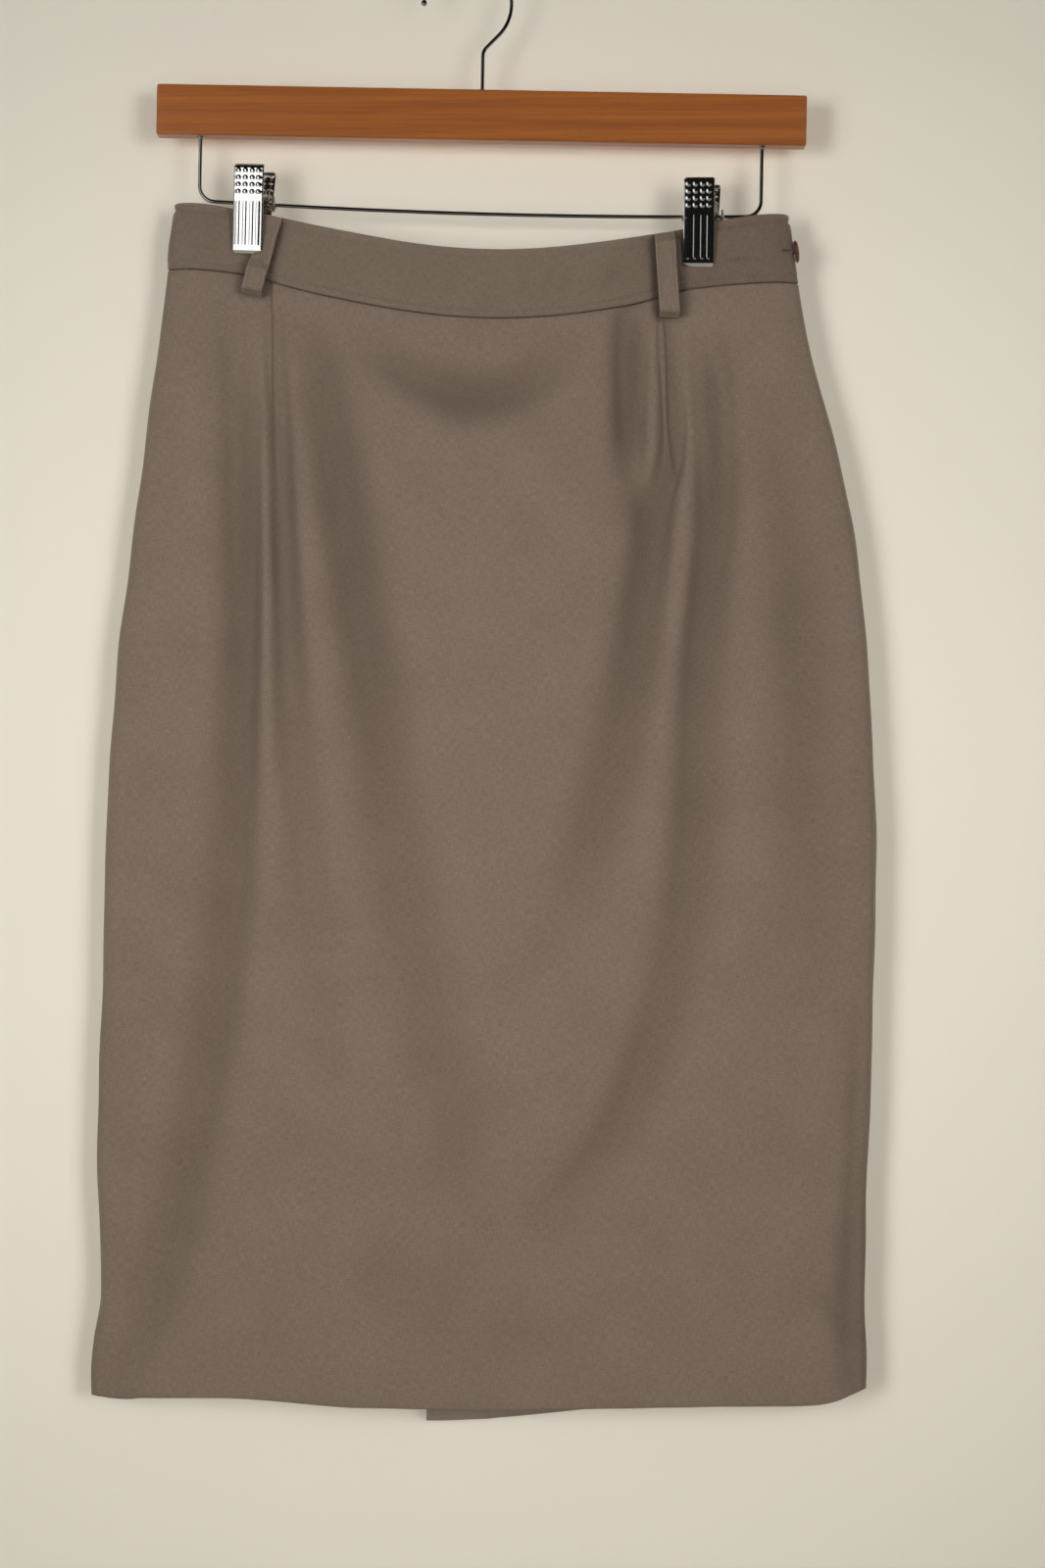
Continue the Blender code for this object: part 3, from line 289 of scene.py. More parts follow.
def troughs(creases, x, level):
    total = np.zeros(np.shape(x))
    for rows in creases.values():
        deepest = np.zeros(np.shape(x))
        for (x0, y0, d0, w0), (x1, y1, d1, w1) in zip(rows[:-1], rows[1:]):
            runX, runY = x1 - x0, y1 - y0
            t = np.clip(((x - x0) * runX + (level - y0) * runY) / (runX ** 2 + runY ** 2), 0, 1)
            away = np.hypot(x - x0 - t * runX, level - y0 - t * runY)
            here = (d0 + t * (d1 - d0)) * np.exp(-(away / (w0 + t * (w1 - w0))) ** 2)
            deepest = np.where(np.abs(here) > np.abs(deepest), here, deepest)
        total += deepest
    return total


def addMesh(name, points, faces, material, uvs=None, marks=None):
    mesh = bpy.data.meshes.new(name)
    mesh.from_pydata((np.asarray(points) * metres).tolist(), [], [list(map(int, face)) for face in faces])
    mesh.materials.append(material)
    mesh.shade_smooth()
    corners = np.zeros(len(mesh.loops), np.int32)
    mesh.loops.foreach_get("vertex_index", corners)
    if uvs is not None:
        layer = mesh.uv_layers.new(name="cut")
        layer.data.foreach_set("uv", (np.asarray(uvs)[corners] * metres).ravel())
    for key, values in (marks or {}).items():
        mark = mesh.attributes.new(key, "FLOAT", "POINT")
        mark.data.foreach_set("value", np.asarray(values, np.float32).ravel())
    made = bpy.data.objects.new(name, mesh)
    bpy.context.scene.collection.objects.link(made)
    return made


# A closed wall between two grids of points, whose columns run with the turn and rows run down
def shell(name, outer, inner, material, uvs, marks=None, keep=None):
    rows, columns = outer.shape[:2]
    index = np.arange(rows * columns).reshape(rows, columns)
    quads = np.stack([index[:-1, :-1], index[1:, :-1], index[1:, 1:], index[:-1, 1:]], -1)
    quads = quads.reshape(-1, 4) if keep is None else quads[keep]
    count = rows * columns
    edges = np.concatenate([quads[:, [i, (i + 1) % 4]] for i in range(4)])
    onRim = ~np.isin(edges[:, 0] * count + edges[:, 1], edges[:, 1] * count + edges[:, 0])
    a, b = edges[onRim].T
    rim = np.stack([b, a, a + count, b + count], -1)
    faces = np.concatenate([quads, quads[:, ::-1] + count, rim])
    used, renumbered = np.unique(faces, return_inverse=True)
    points = np.concatenate([outer.reshape(-1, 3), inner.reshape(-1, 3)])[used]
    both = np.concatenate([uvs.reshape(-1, 2)] * 2)[used]
    marked = {key: np.concatenate([np.broadcast_to(values, outer.shape[:2]).ravel()] * 2)[used]
              for key, values in (marks or {}).items()}
    return addMesh(name, points, renumbered.reshape(-1, 4), material, both, marked)


# Half the wall near a piece's edge, which is rounded but doesn't thin to nothing
leastRound = 0.03
# Distances from an edge at which its round needs rows or columns
edgeSteps = np.array([0.0, 0.1, 0.3, 0.6, 1.1, 1.9])
# A distance from an edge that is too far off for it to matter, and one too small to count
far = 99.0
nearly = 0.01


def halfWall(distance, wall):
    near = np.clip(distance / (wall / 2), 0.0, 1.0)
    return wall / 2 * np.sqrt(np.clip(1 - (1 - near) ** 2, leastRound, 1.0))


# Where the grid lies on the flat cut: how far along each row, and down
def cutOf(points, downs, start):
    along = np.concatenate([np.zeros((len(points), 1)),
                            np.cumsum(np.linalg.norm(np.diff(points, axis=1), axis=-1), axis=1)], 1)
    return np.stack([along - along[:, [start]], np.broadcast_to(-downs, along.shape)], -1)


# Turn for a share of the way across, so that columns crowd a little at the side edges
evenly = 0.25
shareTable = np.linspace(-1.0, 1.0, 4001)
turnTable = (1 - evenly) * np.degrees(np.arcsin(shareTable)) + evenly * 90.0 * shareTable


def shareOf(x, edge):
    return np.interp(np.clip(x / edge, -1, 1), np.sin(np.radians(turnTable)), shareTable)


def turnOfShare(share):
    return np.interp(share, shareTable, turnTable)


# A piece that takes the place of a node
def piece(made, node):
    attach(made, "skirt")
    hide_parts(node)
    return made


# A piece of the scene's own
def trim(made):
    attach(made, "skirt")
    return made


# Materials: what several of them share is a node group
def newGroup(name, inputs, outputs):
    group = bpy.data.node_groups.new(name, "ShaderNodeTree")
    for way, sockets in (("INPUT", inputs), ("OUTPUT", outputs)):
        for label, kind in sockets.items():
            group.interface.new_socket(label, in_out=way, socket_type="NodeSocket" + kind)
    return group, put(group, "NodeGroupInput").outputs, put(group, "NodeGroupOutput").inputs


# A node with its settings, and its inputs as values or as links from other sockets
def put(tree, kind, values=None, **settings):
    node = tree.nodes.new(kind)
    for key, value in settings.items():
        setattr(node, key, value)
    for key, value in (values or {}).items():
        if isinstance(value, bpy.types.NodeSocket):
            tree.links.new(value, node.inputs[key])
        else:
            node.inputs[key].default_value = value
    return node


def use(tree, group, values):
    return put(tree, "ShaderNodeGroup", values, node_tree=group).outputs


def calc(tree, operation, *values):
    return put(tree, "ShaderNodeMath", dict(enumerate(values)), operation=operation).outputs[0]


def plus(tree, first, second):
    return calc(tree, "ADD", first, second)


def times(tree, first, second):
    return calc(tree, "MULTIPLY", first, second)


def ramp(tree, factor, *stops):
    node = put(tree, "ShaderNodeValToRGB", {"Fac": factor})
    elements = node.color_ramp.elements
    for index, (place, colour) in ((0, stops[0]), (1, stops[-1])):
        elements[index].position = place
        elements[index].color = (*colour, 1.0)
    for place, colour in stops[1:-1]:
        elements.new(place).color = (*colour, 1.0)
    return node.outputs["Color"]


def mix(tree, factor, first, second):
    values = {"Fac": factor, "Color1": first, "Color2": (*second, 1.0)}
    return put(tree, "ShaderNodeMixRGB", values).outputs["Color"]


def mapRange(tree, value, low, high, toLow, toHigh):
    values = {"Value": value, "From Min": low, "From Max": high, "To Min": toLow, "To Max": toHigh}
    return put(tree, "ShaderNodeMapRange", values).outputs["Result"]


def noise(tree, vector, scale, detail=2.0, roughness=0.5, stretch=(1.0, 1.0, 1.0)):
    moved = put(tree, "ShaderNodeMapping", {"Vector": vector, "Scale": stretch}).outputs["Vector"]
    values = {"Vector": moved, "Scale": scale, "Detail": detail, "Roughness": roughness}
    return put(tree, "ShaderNodeTexNoise", values).outputs["Fac"]


def bumped(tree, height, distance, strength):
    values = {"Height": height, "Distance": distance, "Strength": strength}
    return put(tree, "ShaderNodeBump", values).outputs["Normal"]


def objectPlace(tree):
    return put(tree, "ShaderNodeTexCoord").outputs["Object"]


# Steep twill lines over warp and weft yarns
weave = {"wanderScale": 900.0, "wander": 2.2, "twill": 0.6, "yarns": 0.18, "fuzzScale": 5200.0, "fuzz": 0.35}


def makeWeave():
    inputs = {"Vector": "Vector", "Yarn": "Float", "Slope": "Float", "Relief": "Float"}
    group, given, out = newGroup("weave", inputs, {"Pattern": "Float", "Normal": "Vector"})
    parts = put(group, "ShaderNodeSeparateXYZ", {"Vector": given["Vector"]}).outputs
    turns = calc(group, "DIVIDE", 2 * math.pi, given["Yarn"])
    u, v = times(group, parts["X"], turns), times(group, parts["Y"], turns)
    wander = times(group, noise(group, given["Vector"], weave["wanderScale"]), weave["wander"])
    twill = calc(group, "SINE", plus(group, calc(group, "MULTIPLY_ADD", v, given["Slope"], u), wander))
    warp, weft = [calc(group, "SINE", times(group, way, 2.0)) for way in (u, v)]
    yarns = times(group, plus(group, warp, weft), weave["yarns"])
    pattern = calc(group, "MULTIPLY_ADD", plus(group, times(group, twill, weave["twill"]), yarns), 0.5, 0.5)
    fuzz = noise(group, given["Vector"], weave["fuzzScale"], 1.0)
    height = calc(group, "MULTIPLY_ADD", fuzz, weave["fuzz"], pattern)
    group.links.new(pattern, out["Pattern"])
    group.links.new(bumped(group, height, given["Relief"], 1.0), out["Normal"])
    return group


# Heathered yarns: short streaks of lighter and darker fibre along warp and weft
melange = {"yarnScale": 260.0, "yarnLength": 7.0, "yarns": 0.42, "cloudScale": 30.0, "clouds": 0.16}


def makeMelange():
    group, given, out = newGroup("melange", {"Vector": "Vector", "Streak": "Float"}, {"Tone": "Float"})
    ways = ((melange["yarnLength"], 1.0, 1.0), (1.0, melange["yarnLength"], 1.0))
    warp, weft = [noise(group, given["Vector"], melange["yarnScale"], 2.0, 0.6, way) for way in ways]
    yarns = times(group, plus(group, warp, weft), melange["yarns"])
    clouds = times(group, noise(group, given["Vector"], melange["cloudScale"], 3.0, 0.6), melange["clouds"])
    offMiddle = calc(group, "SUBTRACT", plus(group, yarns, clouds), 0.5)
    centred = calc(group, "MULTIPLY_ADD", offMiddle, given["Streak"], 0.5)
    group.links.new(centred, out["Tone"])
    return group


# Fine scratches and smears on metal
scratches = {"length": 0.12, "smearScale": 120.0}


def makeScratches():
    group, given, out = newGroup("scratches", {"Vector": "Vector", "Scale": "Float"}, {"Mask": "Float"})
    fine = noise(group, given["Vector"], given["Scale"], 3.0, stretch=(scratches["length"], 1.0, 1.0))
    group.links.new(times(group, fine, noise(group, given["Vector"], scratches["smearScale"])), out["Mask"])
    return group


# Long grain with slow rings, and short pores
grain = {
    "bendScale": 5.0, "bendLength": 3.0, "bend": 9.0, "ringScale": 620.0, "rings": 0.07,
    "fibreScale": 10.0, "fibreLength": 62.0, "fibre": 0.62,
    "fineScale": 46.0, "fineLength": 48.0, "fine": 0.34,
    "poreScale": 240.0, "poreLength": 16.0, "pores": (0.66, 0.74),
}


def makeGrain():
    group, given, out = newGroup("grain", {"Vector": "Vector"}, {"Grain": "Float", "Pores": "Float"})

    def along(scale, length, detail, rough):
        return noise(group, given["Vector"], scale, detail, rough, (1.0, length, length))

    height = put(group, "ShaderNodeSeparateXYZ", {"Vector": given["Vector"]}).outputs["Z"]
    bend = times(group, along(grain["bendScale"], grain["bendLength"], 2.0, 0.5), grain["bend"])
    wave = calc(group, "SINE", plus(group, times(group, height, grain["ringScale"]), bend))
    rings = times(group, wave, grain["rings"])
    fibre = times(group, along(grain["fibreScale"], grain["fibreLength"], 5.0, 0.66), grain["fibre"])
    fine = times(group, along(grain["fineScale"], grain["fineLength"], 3.0, 0.6), grain["fine"])
    pores = along(grain["poreScale"], grain["poreLength"], 1.0, 0.5)
    group.links.new(plus(group, fibre, plus(group, rings, fine)), out["Grain"])
    group.links.new(mapRange(group, pores, *grain["pores"], 0.0, 1.0), out["Pores"])
    return group


groups = {"weave": makeWeave(), "melange": makeMelange(), "scratches": makeScratches(), "grain": makeGrain()}


def newMaterial(name, **values):
    made = bpy.data.materials.new(name)
    made.use_nodes = True
    shader = made.node_tree.nodes["Principled BSDF"]
    for key, value in values.items():
        shader.inputs[key.replace("_", " ")].default_value = value
    return made, made.node_tree, shader


def link(tree, shader, **sockets):
    for key, socket in sockets.items():
        tree.links.new(socket, shader.inputs[key.replace("_", " ")])


# The skirt's cloth: "cut" is the flat cut in metres; the lighter mark brightens the edges that rubbing has
# lightened and, as painted light, the vent's flap in the front's shadow; "shade" is painted shade in folds,
# recesses and along seams
wool = {
    "tones": ((0.22, (0.141, 0.103, 0.077)), (0.78, (0.248, 0.191, 0.149))),
    "yarn": 0.00055, "slope": 0.5, "relief": 0.00007, "twill": 0.30, "streak": 1.5,
    "roughScale": 60.0, "roughFrom": (0.3, 0.7), "roughness": (0.76, 0.90), "specular": 0.25,
    "sheen": 0.16, "sheenRoughness": 0.45, "sheenTint": (0.95, 0.87, 0.78, 1.0),
    "marks": {"wornAndLit": (0.35, (0.30, 0.25, 0.21)), "shade": (0.55, (0.058, 0.034, 0.028))},
}


def makeWool():
    made, tree, shader = newMaterial(
        "wool", Sheen_Weight=wool["sheen"], Sheen_Roughness=wool["sheenRoughness"],
        Sheen_Tint=wool["sheenTint"], Specular_IOR_Level=wool["specular"])
    uv = put(tree, "ShaderNodeUVMap", uv_map="cut").outputs["UV"]
    woven = use(tree, groups["weave"], {
        "Vector": uv, "Yarn": wool["yarn"], "Slope": wool["slope"], "Relief": wool["relief"]})
    tone = use(tree, groups["melange"], {"Vector": uv, "Streak": wool["streak"]})["Tone"]
    mixed = calc(tree, "MULTIPLY_ADD", calc(tree, "SUBTRACT", woven["Pattern"], 0.5), wool["twill"], tone)
    colour = ramp(tree, mixed, *wool["tones"])
    for mark, (strength, towards) in wool["marks"].items():
        amount = put(tree, "ShaderNodeAttribute", attribute_name=mark).outputs["Fac"]
        colour = mix(tree, times(tree, amount, strength), colour, towards)
    rough = mapRange(tree, noise(tree, uv, wool["roughScale"]), *wool["roughFrom"], *wool["roughness"])
    link(tree, shader, Base_Color=colour, Roughness=rough, Normal=woven["Normal"])
    return made


yarn = {
    "plyScale": 2600.0, "plyLength": 0.5, "tones": (0.3, 0.7), "relief": 0.00008, "bump": 0.8,
    "roughness": (0.55, 0.8), "sheen": 0.3, "specular": 0.35,
}


def makeThread(name, dark, light):
    made, tree, shader = newMaterial(name, Sheen_Weight=yarn["sheen"], Specular_IOR_Level=yarn["specular"])
    ply = noise(tree, objectPlace(tree), yarn["plyScale"], stretch=(1.0, 1.0, yarn["plyLength"]))
    rough = mapRange(tree, ply, 0.0, 1.0, *yarn["roughness"])
    link(tree, shader, Base_Color=ramp(tree, ply, *zip(yarn["tones"], (dark, light))), Roughness=rough,
         Normal=bumped(tree, ply, yarn["relief"], yarn["bump"]))
    return made


def scratched(tree, scale):
    return use(tree, groups["scratches"], {"Vector": objectPlace(tree), "Scale": scale})["Mask"]


chrome = {"scratchScale": 700.0, "dullFrom": (0.12, 0.42), "dull": 0.86, "relief": 0.000008, "bump": 0.5}


def makeChrome(name, base, low, high):
    made, tree, shader = newMaterial(name, Metallic=1.0)
    mask = scratched(tree, chrome["scratchScale"])
    dull = mapRange(tree, mask, *chrome["dullFrom"], 0.0, 1.0)
    colour = ramp(tree, dull, (0.0, base), (1.0, [v * chrome["dull"] for v in base]))
    link(tree, shader, Base_Color=colour, Roughness=mapRange(tree, dull, 0.0, 1.0, low, high),
         Normal=bumped(tree, mask, chrome["relief"], chrome["bump"]))
    return made


wood = {
    "tones": ((0.30, (0.236, 0.066, 0.006)), (0.50, (0.315, 0.091, 0.010)), (0.68, (0.384, 0.119, 0.016))),
    "pore": (0.10, 0.028, 0.008), "poreTint": 0.35, "poreDepth": 0.5,
    "relief": 0.00012, "bump": 0.35, "roughFrom": (0.3, 0.7), "roughness": (0.52, 0.36), "specular": 0.4,
    "lacquer": 0.07, "lacquerRoughness": 0.22,
}


def makeWood():
    made, tree, shader = newMaterial(
        "cherryWood", Specular_IOR_Level=wood["specular"], Coat_Weight=wood["lacquer"],
        Coat_Roughness=wood["lacquerRoughness"])
    marks = use(tree, groups["grain"], {"Vector": objectPlace(tree)})
    colour = ramp(tree, marks["Grain"], *wood["tones"])
    pored = mix(tree, times(tree, marks["Pores"], wood["poreTint"]), colour, wood["pore"])
    height = calc(tree, "SUBTRACT", marks["Grain"], times(tree, marks["Pores"], wood["poreDepth"]))
    rough = mapRange(tree, marks["Grain"], *wood["roughFrom"], *wood["roughness"])
    normal = bumped(tree, height, wood["relief"], wood["bump"])
    link(tree, shader, Base_Color=pored, Roughness=rough, Normal=normal)
    return made


horn = {
    "swirlScale": 260.0, "swirlLength": 2.6, "swirl": 0.85, "fineScale": 1500.0, "fine": 0.2,
    "tones": ((0.36, (0.018, 0.007, 0.004)), (0.52, (0.090, 0.030, 0.013)), (0.68, (0.230, 0.090, 0.040))),
    "roughFrom": (0.2, 0.8), "roughness": (0.22, 0.38), "polish": 0.5, "polishRoughness": 0.08,
    "glow": 0.05, "glowReach": 0.002,
}


def makeHorn():
    made, tree, shader = newMaterial(
        "hornButton", Coat_Weight=horn["polish"], Coat_Roughness=horn["polishRoughness"],
        Subsurface_Weight=horn["glow"], Subsurface_Scale=horn["glowReach"])
    place = objectPlace(tree)
    swirl = noise(tree, place, horn["swirlScale"], 4.0, 0.6, (1.0, 1.0, horn["swirlLength"]))
    fine = noise(tree, place, horn["fineScale"])
    tone = calc(tree, "MULTIPLY_ADD", fine, horn["fine"], times(tree, swirl, horn["swirl"]))
    link(tree, shader, Base_Color=ramp(tree, tone, *horn["tones"]),
         Roughness=mapRange(tree, fine, *horn["roughFrom"], *horn["roughness"]))
    return made


tape = {
    "tones": ((0.2, (0.085, 0.062, 0.047)), (0.8, (0.145, 0.108, 0.083))), "yarn": 0.0011, "slope": 0.0,
    "relief": 0.0001, "roughness": (0.7, 0.9), "sheen": 0.15, "specular": 0.25,
}


def makeTape():
    made, tree, shader = newMaterial(
        "zipTape", Sheen_Weight=tape["sheen"], Specular_IOR_Level=tape["specular"])
    uv = put(tree, "ShaderNodeUVMap", uv_map="cut").outputs["UV"]
    woven = use(tree, groups["weave"], {
        "Vector": uv, "Yarn": tape["yarn"], "Slope": tape["slope"], "Relief": tape["relief"]})
    link(tree, shader, Base_Color=ramp(tree, woven["Pattern"], *tape["tones"]),
         Roughness=mapRange(tree, woven["Pattern"], 0.0, 1.0, *tape["roughness"]), Normal=woven["Normal"])
    return made


zipMetal = {
    "tones": ((0.12, (0.16, 0.12, 0.085)), (0.42, (0.46, 0.38, 0.28))), "scratchScale": 1400.0,
    "roughFrom": (0.1, 0.5), "roughness": (0.42, 0.22), "relief": 0.00002, "bump": 0.5,
}


def makeZipMetal():
    made, tree, shader = newMaterial("zipMetal", Metallic=1.0)
    mask = scratched(tree, zipMetal["scratchScale"])
    link(tree, shader, Base_Color=ramp(tree, mask, *zipMetal["tones"]),
         Roughness=mapRange(tree, mask, *zipMetal["roughFrom"], *zipMetal["roughness"]),
         Normal=bumped(tree, mask, zipMetal["relief"], zipMetal["bump"]))
    return made


materials = {
    "wool": makeWool(),
    "thread": makeThread("thread", (0.100, 0.074, 0.056), (0.190, 0.146, 0.113)),
    "buttonThread": makeThread("buttonThread", (0.075, 0.052, 0.038), (0.150, 0.108, 0.080)),
    "wire": makeChrome("wireChrome", (0.40, 0.40, 0.39), 0.06, 0.16),
    "plate": makeChrome("plateChrome", (0.74, 0.74, 0.73), 0.05, 0.13),
    "wood": makeWood(), "horn": makeHorn(), "tape": makeTape(), "zipMetal": makeZipMetal(),
}
print("stage: materials made")


# Places from start to end at a step, closer round each (middle, reach, step) of tight and widening from there
widen = 0.25


def graded(start, end, step, tight=()):
    places = [start]
    while places[-1] < end:
        here = places[-1]
        steps = [fine + max(0.0, abs(here - middle) - reach) * widen for middle, reach, fine in tight]
        places.append(here + min([step] + steps))
    places = np.array(places)
    return start + (places - start) * (end - start) / (places[-1] - start)


# The same with the close steps of a rounded edge at both ends
def edged(start, end, step, tight=()):
    inner = graded(start + edgeSteps[-1], end - edgeSteps[-1], step, tight)
    return np.concatenate([start + edgeSteps[:-1], inner, end - edgeSteps[-2::-1]])


# Soft unevenness of hung cloth, as a sum of slanted waves
waves = (
    (0.21, 0.052, 0.4), (0.126, -0.081, 1.9), (0.077, 0.113, 3.1), (0.043, 0.031, 0.7), (0.029, -0.047, 5.2))
wavesTogether = 2.2


def uneven(x, z, size):
    return size * sum(np.sin(a * x + b * z + c) for a, b, c in waves) / wavesTogether


# Belt loops: top and foot are each x from the centre and a drop, flat is the share lying on the band,
# rise the share over which it then bends out, and level is how far its rows turn level towards the foot
loops = {
    "width": 11.2, "cloth": 1.5, "stand": 6.6, "footBend": 0.94, "stitchIn": 1.5, "grooveDepth": 0.22,
    "grooveReach": 0.5, "rows": 72, "columns": 30, "columnsTo": 3.7, "crown": 0.125,
    "wave": 0.12, "waves": 19.0, "liftFrom": (0.03, 0.25), "liftSide": (-1.5, 4.5), "leastLean": 0.7,
    "wornAndLit": 0.6, "wornReach": 0.6,
    "cutX": 1.7, "cutY": 300.0, "sideStitch": (2.3, 0.5, 0.17), "endStitch": (1.0, 0.1, 0.2),
    "stitchRows": (3, -3), "stitchColumns": (4, -4), "endRows": (-6, -8),
    "shade": 0.80, "shadeInside": 0.4, "shadeReach": 4.2, "shadeBelow": 1.3,
}
loopPlaces = {
    "rightFrontLoop": {"node": "loop_front_right", "top": (-115.0, 0.4), "foot": (-126.6, 45.0), "flat": 0.5,
                       "rise": 0.22, "isBack": False, "sideLift": 3.0, "level": 0.0},
    "leftFrontLoop": {"node": "loop_front_left", "top": (98.8, 0.4), "foot": (101.8, 46.5), "flat": 0.0,
                      "rise": 0.14, "isBack": False, "sideLift": 0.0, "level": 1.0},
    "rightBackLoop": {"node": "loop_back_right", "top": (-62.0, 0.4), "foot": (-62.0, 46.0), "flat": 0.0,
                      "rise": 0.14, "isBack": True, "sideLift": 0.0, "level": 0.7},
    "leftBackLoop": {"node": "loop_back_left", "top": (62.0, 0.4), "foot": (62.0, 46.0), "flat": 0.0,
                     "rise": 0.14, "isBack": True, "sideLift": 0.0, "level": 0.7},
}


# Painted shadow: cloth close beside and below a loop is darkened as if the loop shaded it
def loopShade(turn, down):
    x = acrossOf(turn, down)
    total = np.zeros(np.shape(x))
    for look in loopPlaces.values():
        (topX, topDown), (footX, footDown) = look["top"], look["foot"]
        share = np.clip((down - topDown) / (footDown - topDown), 0.0, 1.0)
        beside = np.abs(x - topX - (footX - topX) * share) - loops["width"] / 2 + loops["shadeInside"]
        beside = np.maximum(beside, 0.0) / loops["shadeReach"]
        below = np.maximum(down - footDown - seamLift(x, footDown), 0.0) / loops["shadeBelow"]
        total += loops["shade"] * np.exp(-beside ** 2 - below ** 2) * (atBack(turn) == look["isBack"])
    return total


# Each dart's line from the band to its tip: a drop and x from the centre
darts = {
    "frontRight": {"isBack": False, "line": ((39.0, -115.7), (90.0, -115.0), (140.0, -113.0))},
    "frontLeft": {"isBack": False, "line": ((39.0, 98.5), (95.0, 101.2), (146.0, 104.9))},
    "backRight": {"isBack": True, "line": ((39.0, -86.0), (148.0, -83.0))},
    "backLeft": {"isBack": True, "line": ((39.0, 85.0), (143.0, 82.0))},
}
dartLook = {
    "shade": 0.5, "shadeWidth": 0.8, "shadeTip": (-18.0, 6.0), "groove": 0.62, "grooveWidth": 0.55,
    "grooveTip": (-30.0, 4.0), "step": 0.28, "stepWidth": 0.8, "stepReach": 6.0,
    "pucker": 0.5, "puckerReach": 9.0, "puckerLength": 14.0,
}


def dartX(dart, down):
    rows = np.array(dart["line"])
    return np.interp(down, rows[:, 0], rows[:, 1])


# The sewn line of each dart, with the fold of its cloth pressed to the centre, and a small bulge at its tip
def dartRelief(x, down, isBack):
    total = np.zeros(np.shape(x))
    for dart in darts.values():
        tip = dart["line"][-1][0]
        away = x - dartX(dart, down)
        towards = away * -np.sign(dart["line"][0][1])
        before, after = dartLook["grooveTip"]
        shown = (1 - ease(tip + before, tip + after, down)) * (isBack == dart["isBack"])
        groove = -dartLook["groove"] * np.exp(-(away / dartLook["grooveWidth"]) ** 2)
        step = np.tanh(towards / dartLook["stepWidth"]) * np.exp(-np.abs(away) / dartLook["stepReach"])
        total += shown * (groove + dartLook["step"] * step)
        aside, along = away / dartLook["puckerReach"], (down - tip) / dartLook["puckerLength"]
        total += dartLook["pucker"] * np.exp(-aside ** 2 - along ** 2) * (isBack == dart["isBack"])
    return total


def dartShade(x, down, isBack):
    total = np.zeros(np.shape(x))
    for dart in darts.values():
        tip = dart["line"][-1][0]
        before, after = dartLook["shadeTip"]
        shown = (1 - ease(tip + before, tip + after, down)) * (isBack == dart["isBack"])
        total += dartLook["shade"] * shown * np.exp(-((x - dartX(dart, down)) / dartLook["shadeWidth"]) ** 2)
    return total


panels = {
    "columnShare": 0.0145, "dartColumnShare": 0.0016, "dartColumnReach": 0.008, "centreShare": 0.012,
    "sideFirst": (1.1, 2.6, 4.4), "sideFrom": 6.4, "sideStep": 2.2, "flapFrom": 2.0, "flapStep": 2.2,
    "rowStep": 3.4, "topStep": 1.7, "topReach": 12.0, "hemStep": 1.5, "hemReach": 4.0,
    "allowance": 12.0, "allowanceSoft": 1.5, "allowanceRise": 0.22,
    "hemAllowance": 38.0, "hemSoft": (-1.0, 1.5), "hemRise": 0.22,
    "hemDimple": 0.13, "dimpleSharp": 6, "dimpleBelow": 0.6, "dimpleReach": 1.3, "hemStitch": 7.0,
    "uneven": 0.34, "unevenBack": 31.0, "unevenAtSeam": 0.35, "calmReach": 40.0, "creasesEndAtEdge": 40,
    "foldExtra": 1.3, "foldShade": 0.80, "fullFold": 5.0, "foldPower": 1.7, "creaseShade": 0.12,
    "hemShade": 0.40, "hemShadeReach": 1.3, "seamShade": 0.28, "seamShadeReach": 1.2,
}
# The vent and its flap, with a painted shadow along the slit and painted light on the flap: how far above the
# hem, along or across each mark begins and is full
vent = {
    "tuckFrom": 8.0, "lift": 2.4, "liftReach": 26.0, "shade": 0.9, "shadeAt": 0.6, "shadeReach": 1.8,
    "shadeTop": (-2.0, 6.0), "shadeFoot": (8.0, 16.0), "wornAndLit": 1.0, "flapLitFoot": (9.0, 16.0),
    "flapLitEnd": (60.0, 100.0), "foldWorn": 0.5, "foldWornReach": 1.2, "foldWornTop": 4.0,
}
panelTop = skirt["bandHeight"] + skirt["gap"] / 2
ventTop = skirt["length"] - skirt["ventLength"]


def creasesAt(x, level, isBack):
    return np.where(isBack, troughs(backCreases, x, level), troughs(frontCreases, x, level))


# Painted shade: cloth deep in a fold or crease, along darts, the waist seam and the hem, and beside the
# loops, is darkened as if in shadow
def foldShade(turn, down):
    x, isBack = acrossOf(turn, down), atBack(turn)
    creased = creasesAt(x, skirt["waistZ"] - heightOf(turn, x, down), isBack)
    deep = (drawnIn(turn, down, x) / panels["fullFold"]) ** panels["foldPower"]
    shade = panels["foldShade"] * deep + panels["creaseShade"] * creased
    shade += loopShade(turn, down) + dartShade(x, down, isBack)
    shade += panels["seamShade"] * np.exp(-((down - panelTop) / panels["seamShadeReach"]) ** 2)
    shade += panels["hemShade"] * np.exp((down - skirt["length"]) / panels["hemShadeReach"])
    return np.clip(shade, 0.0, 1.0)


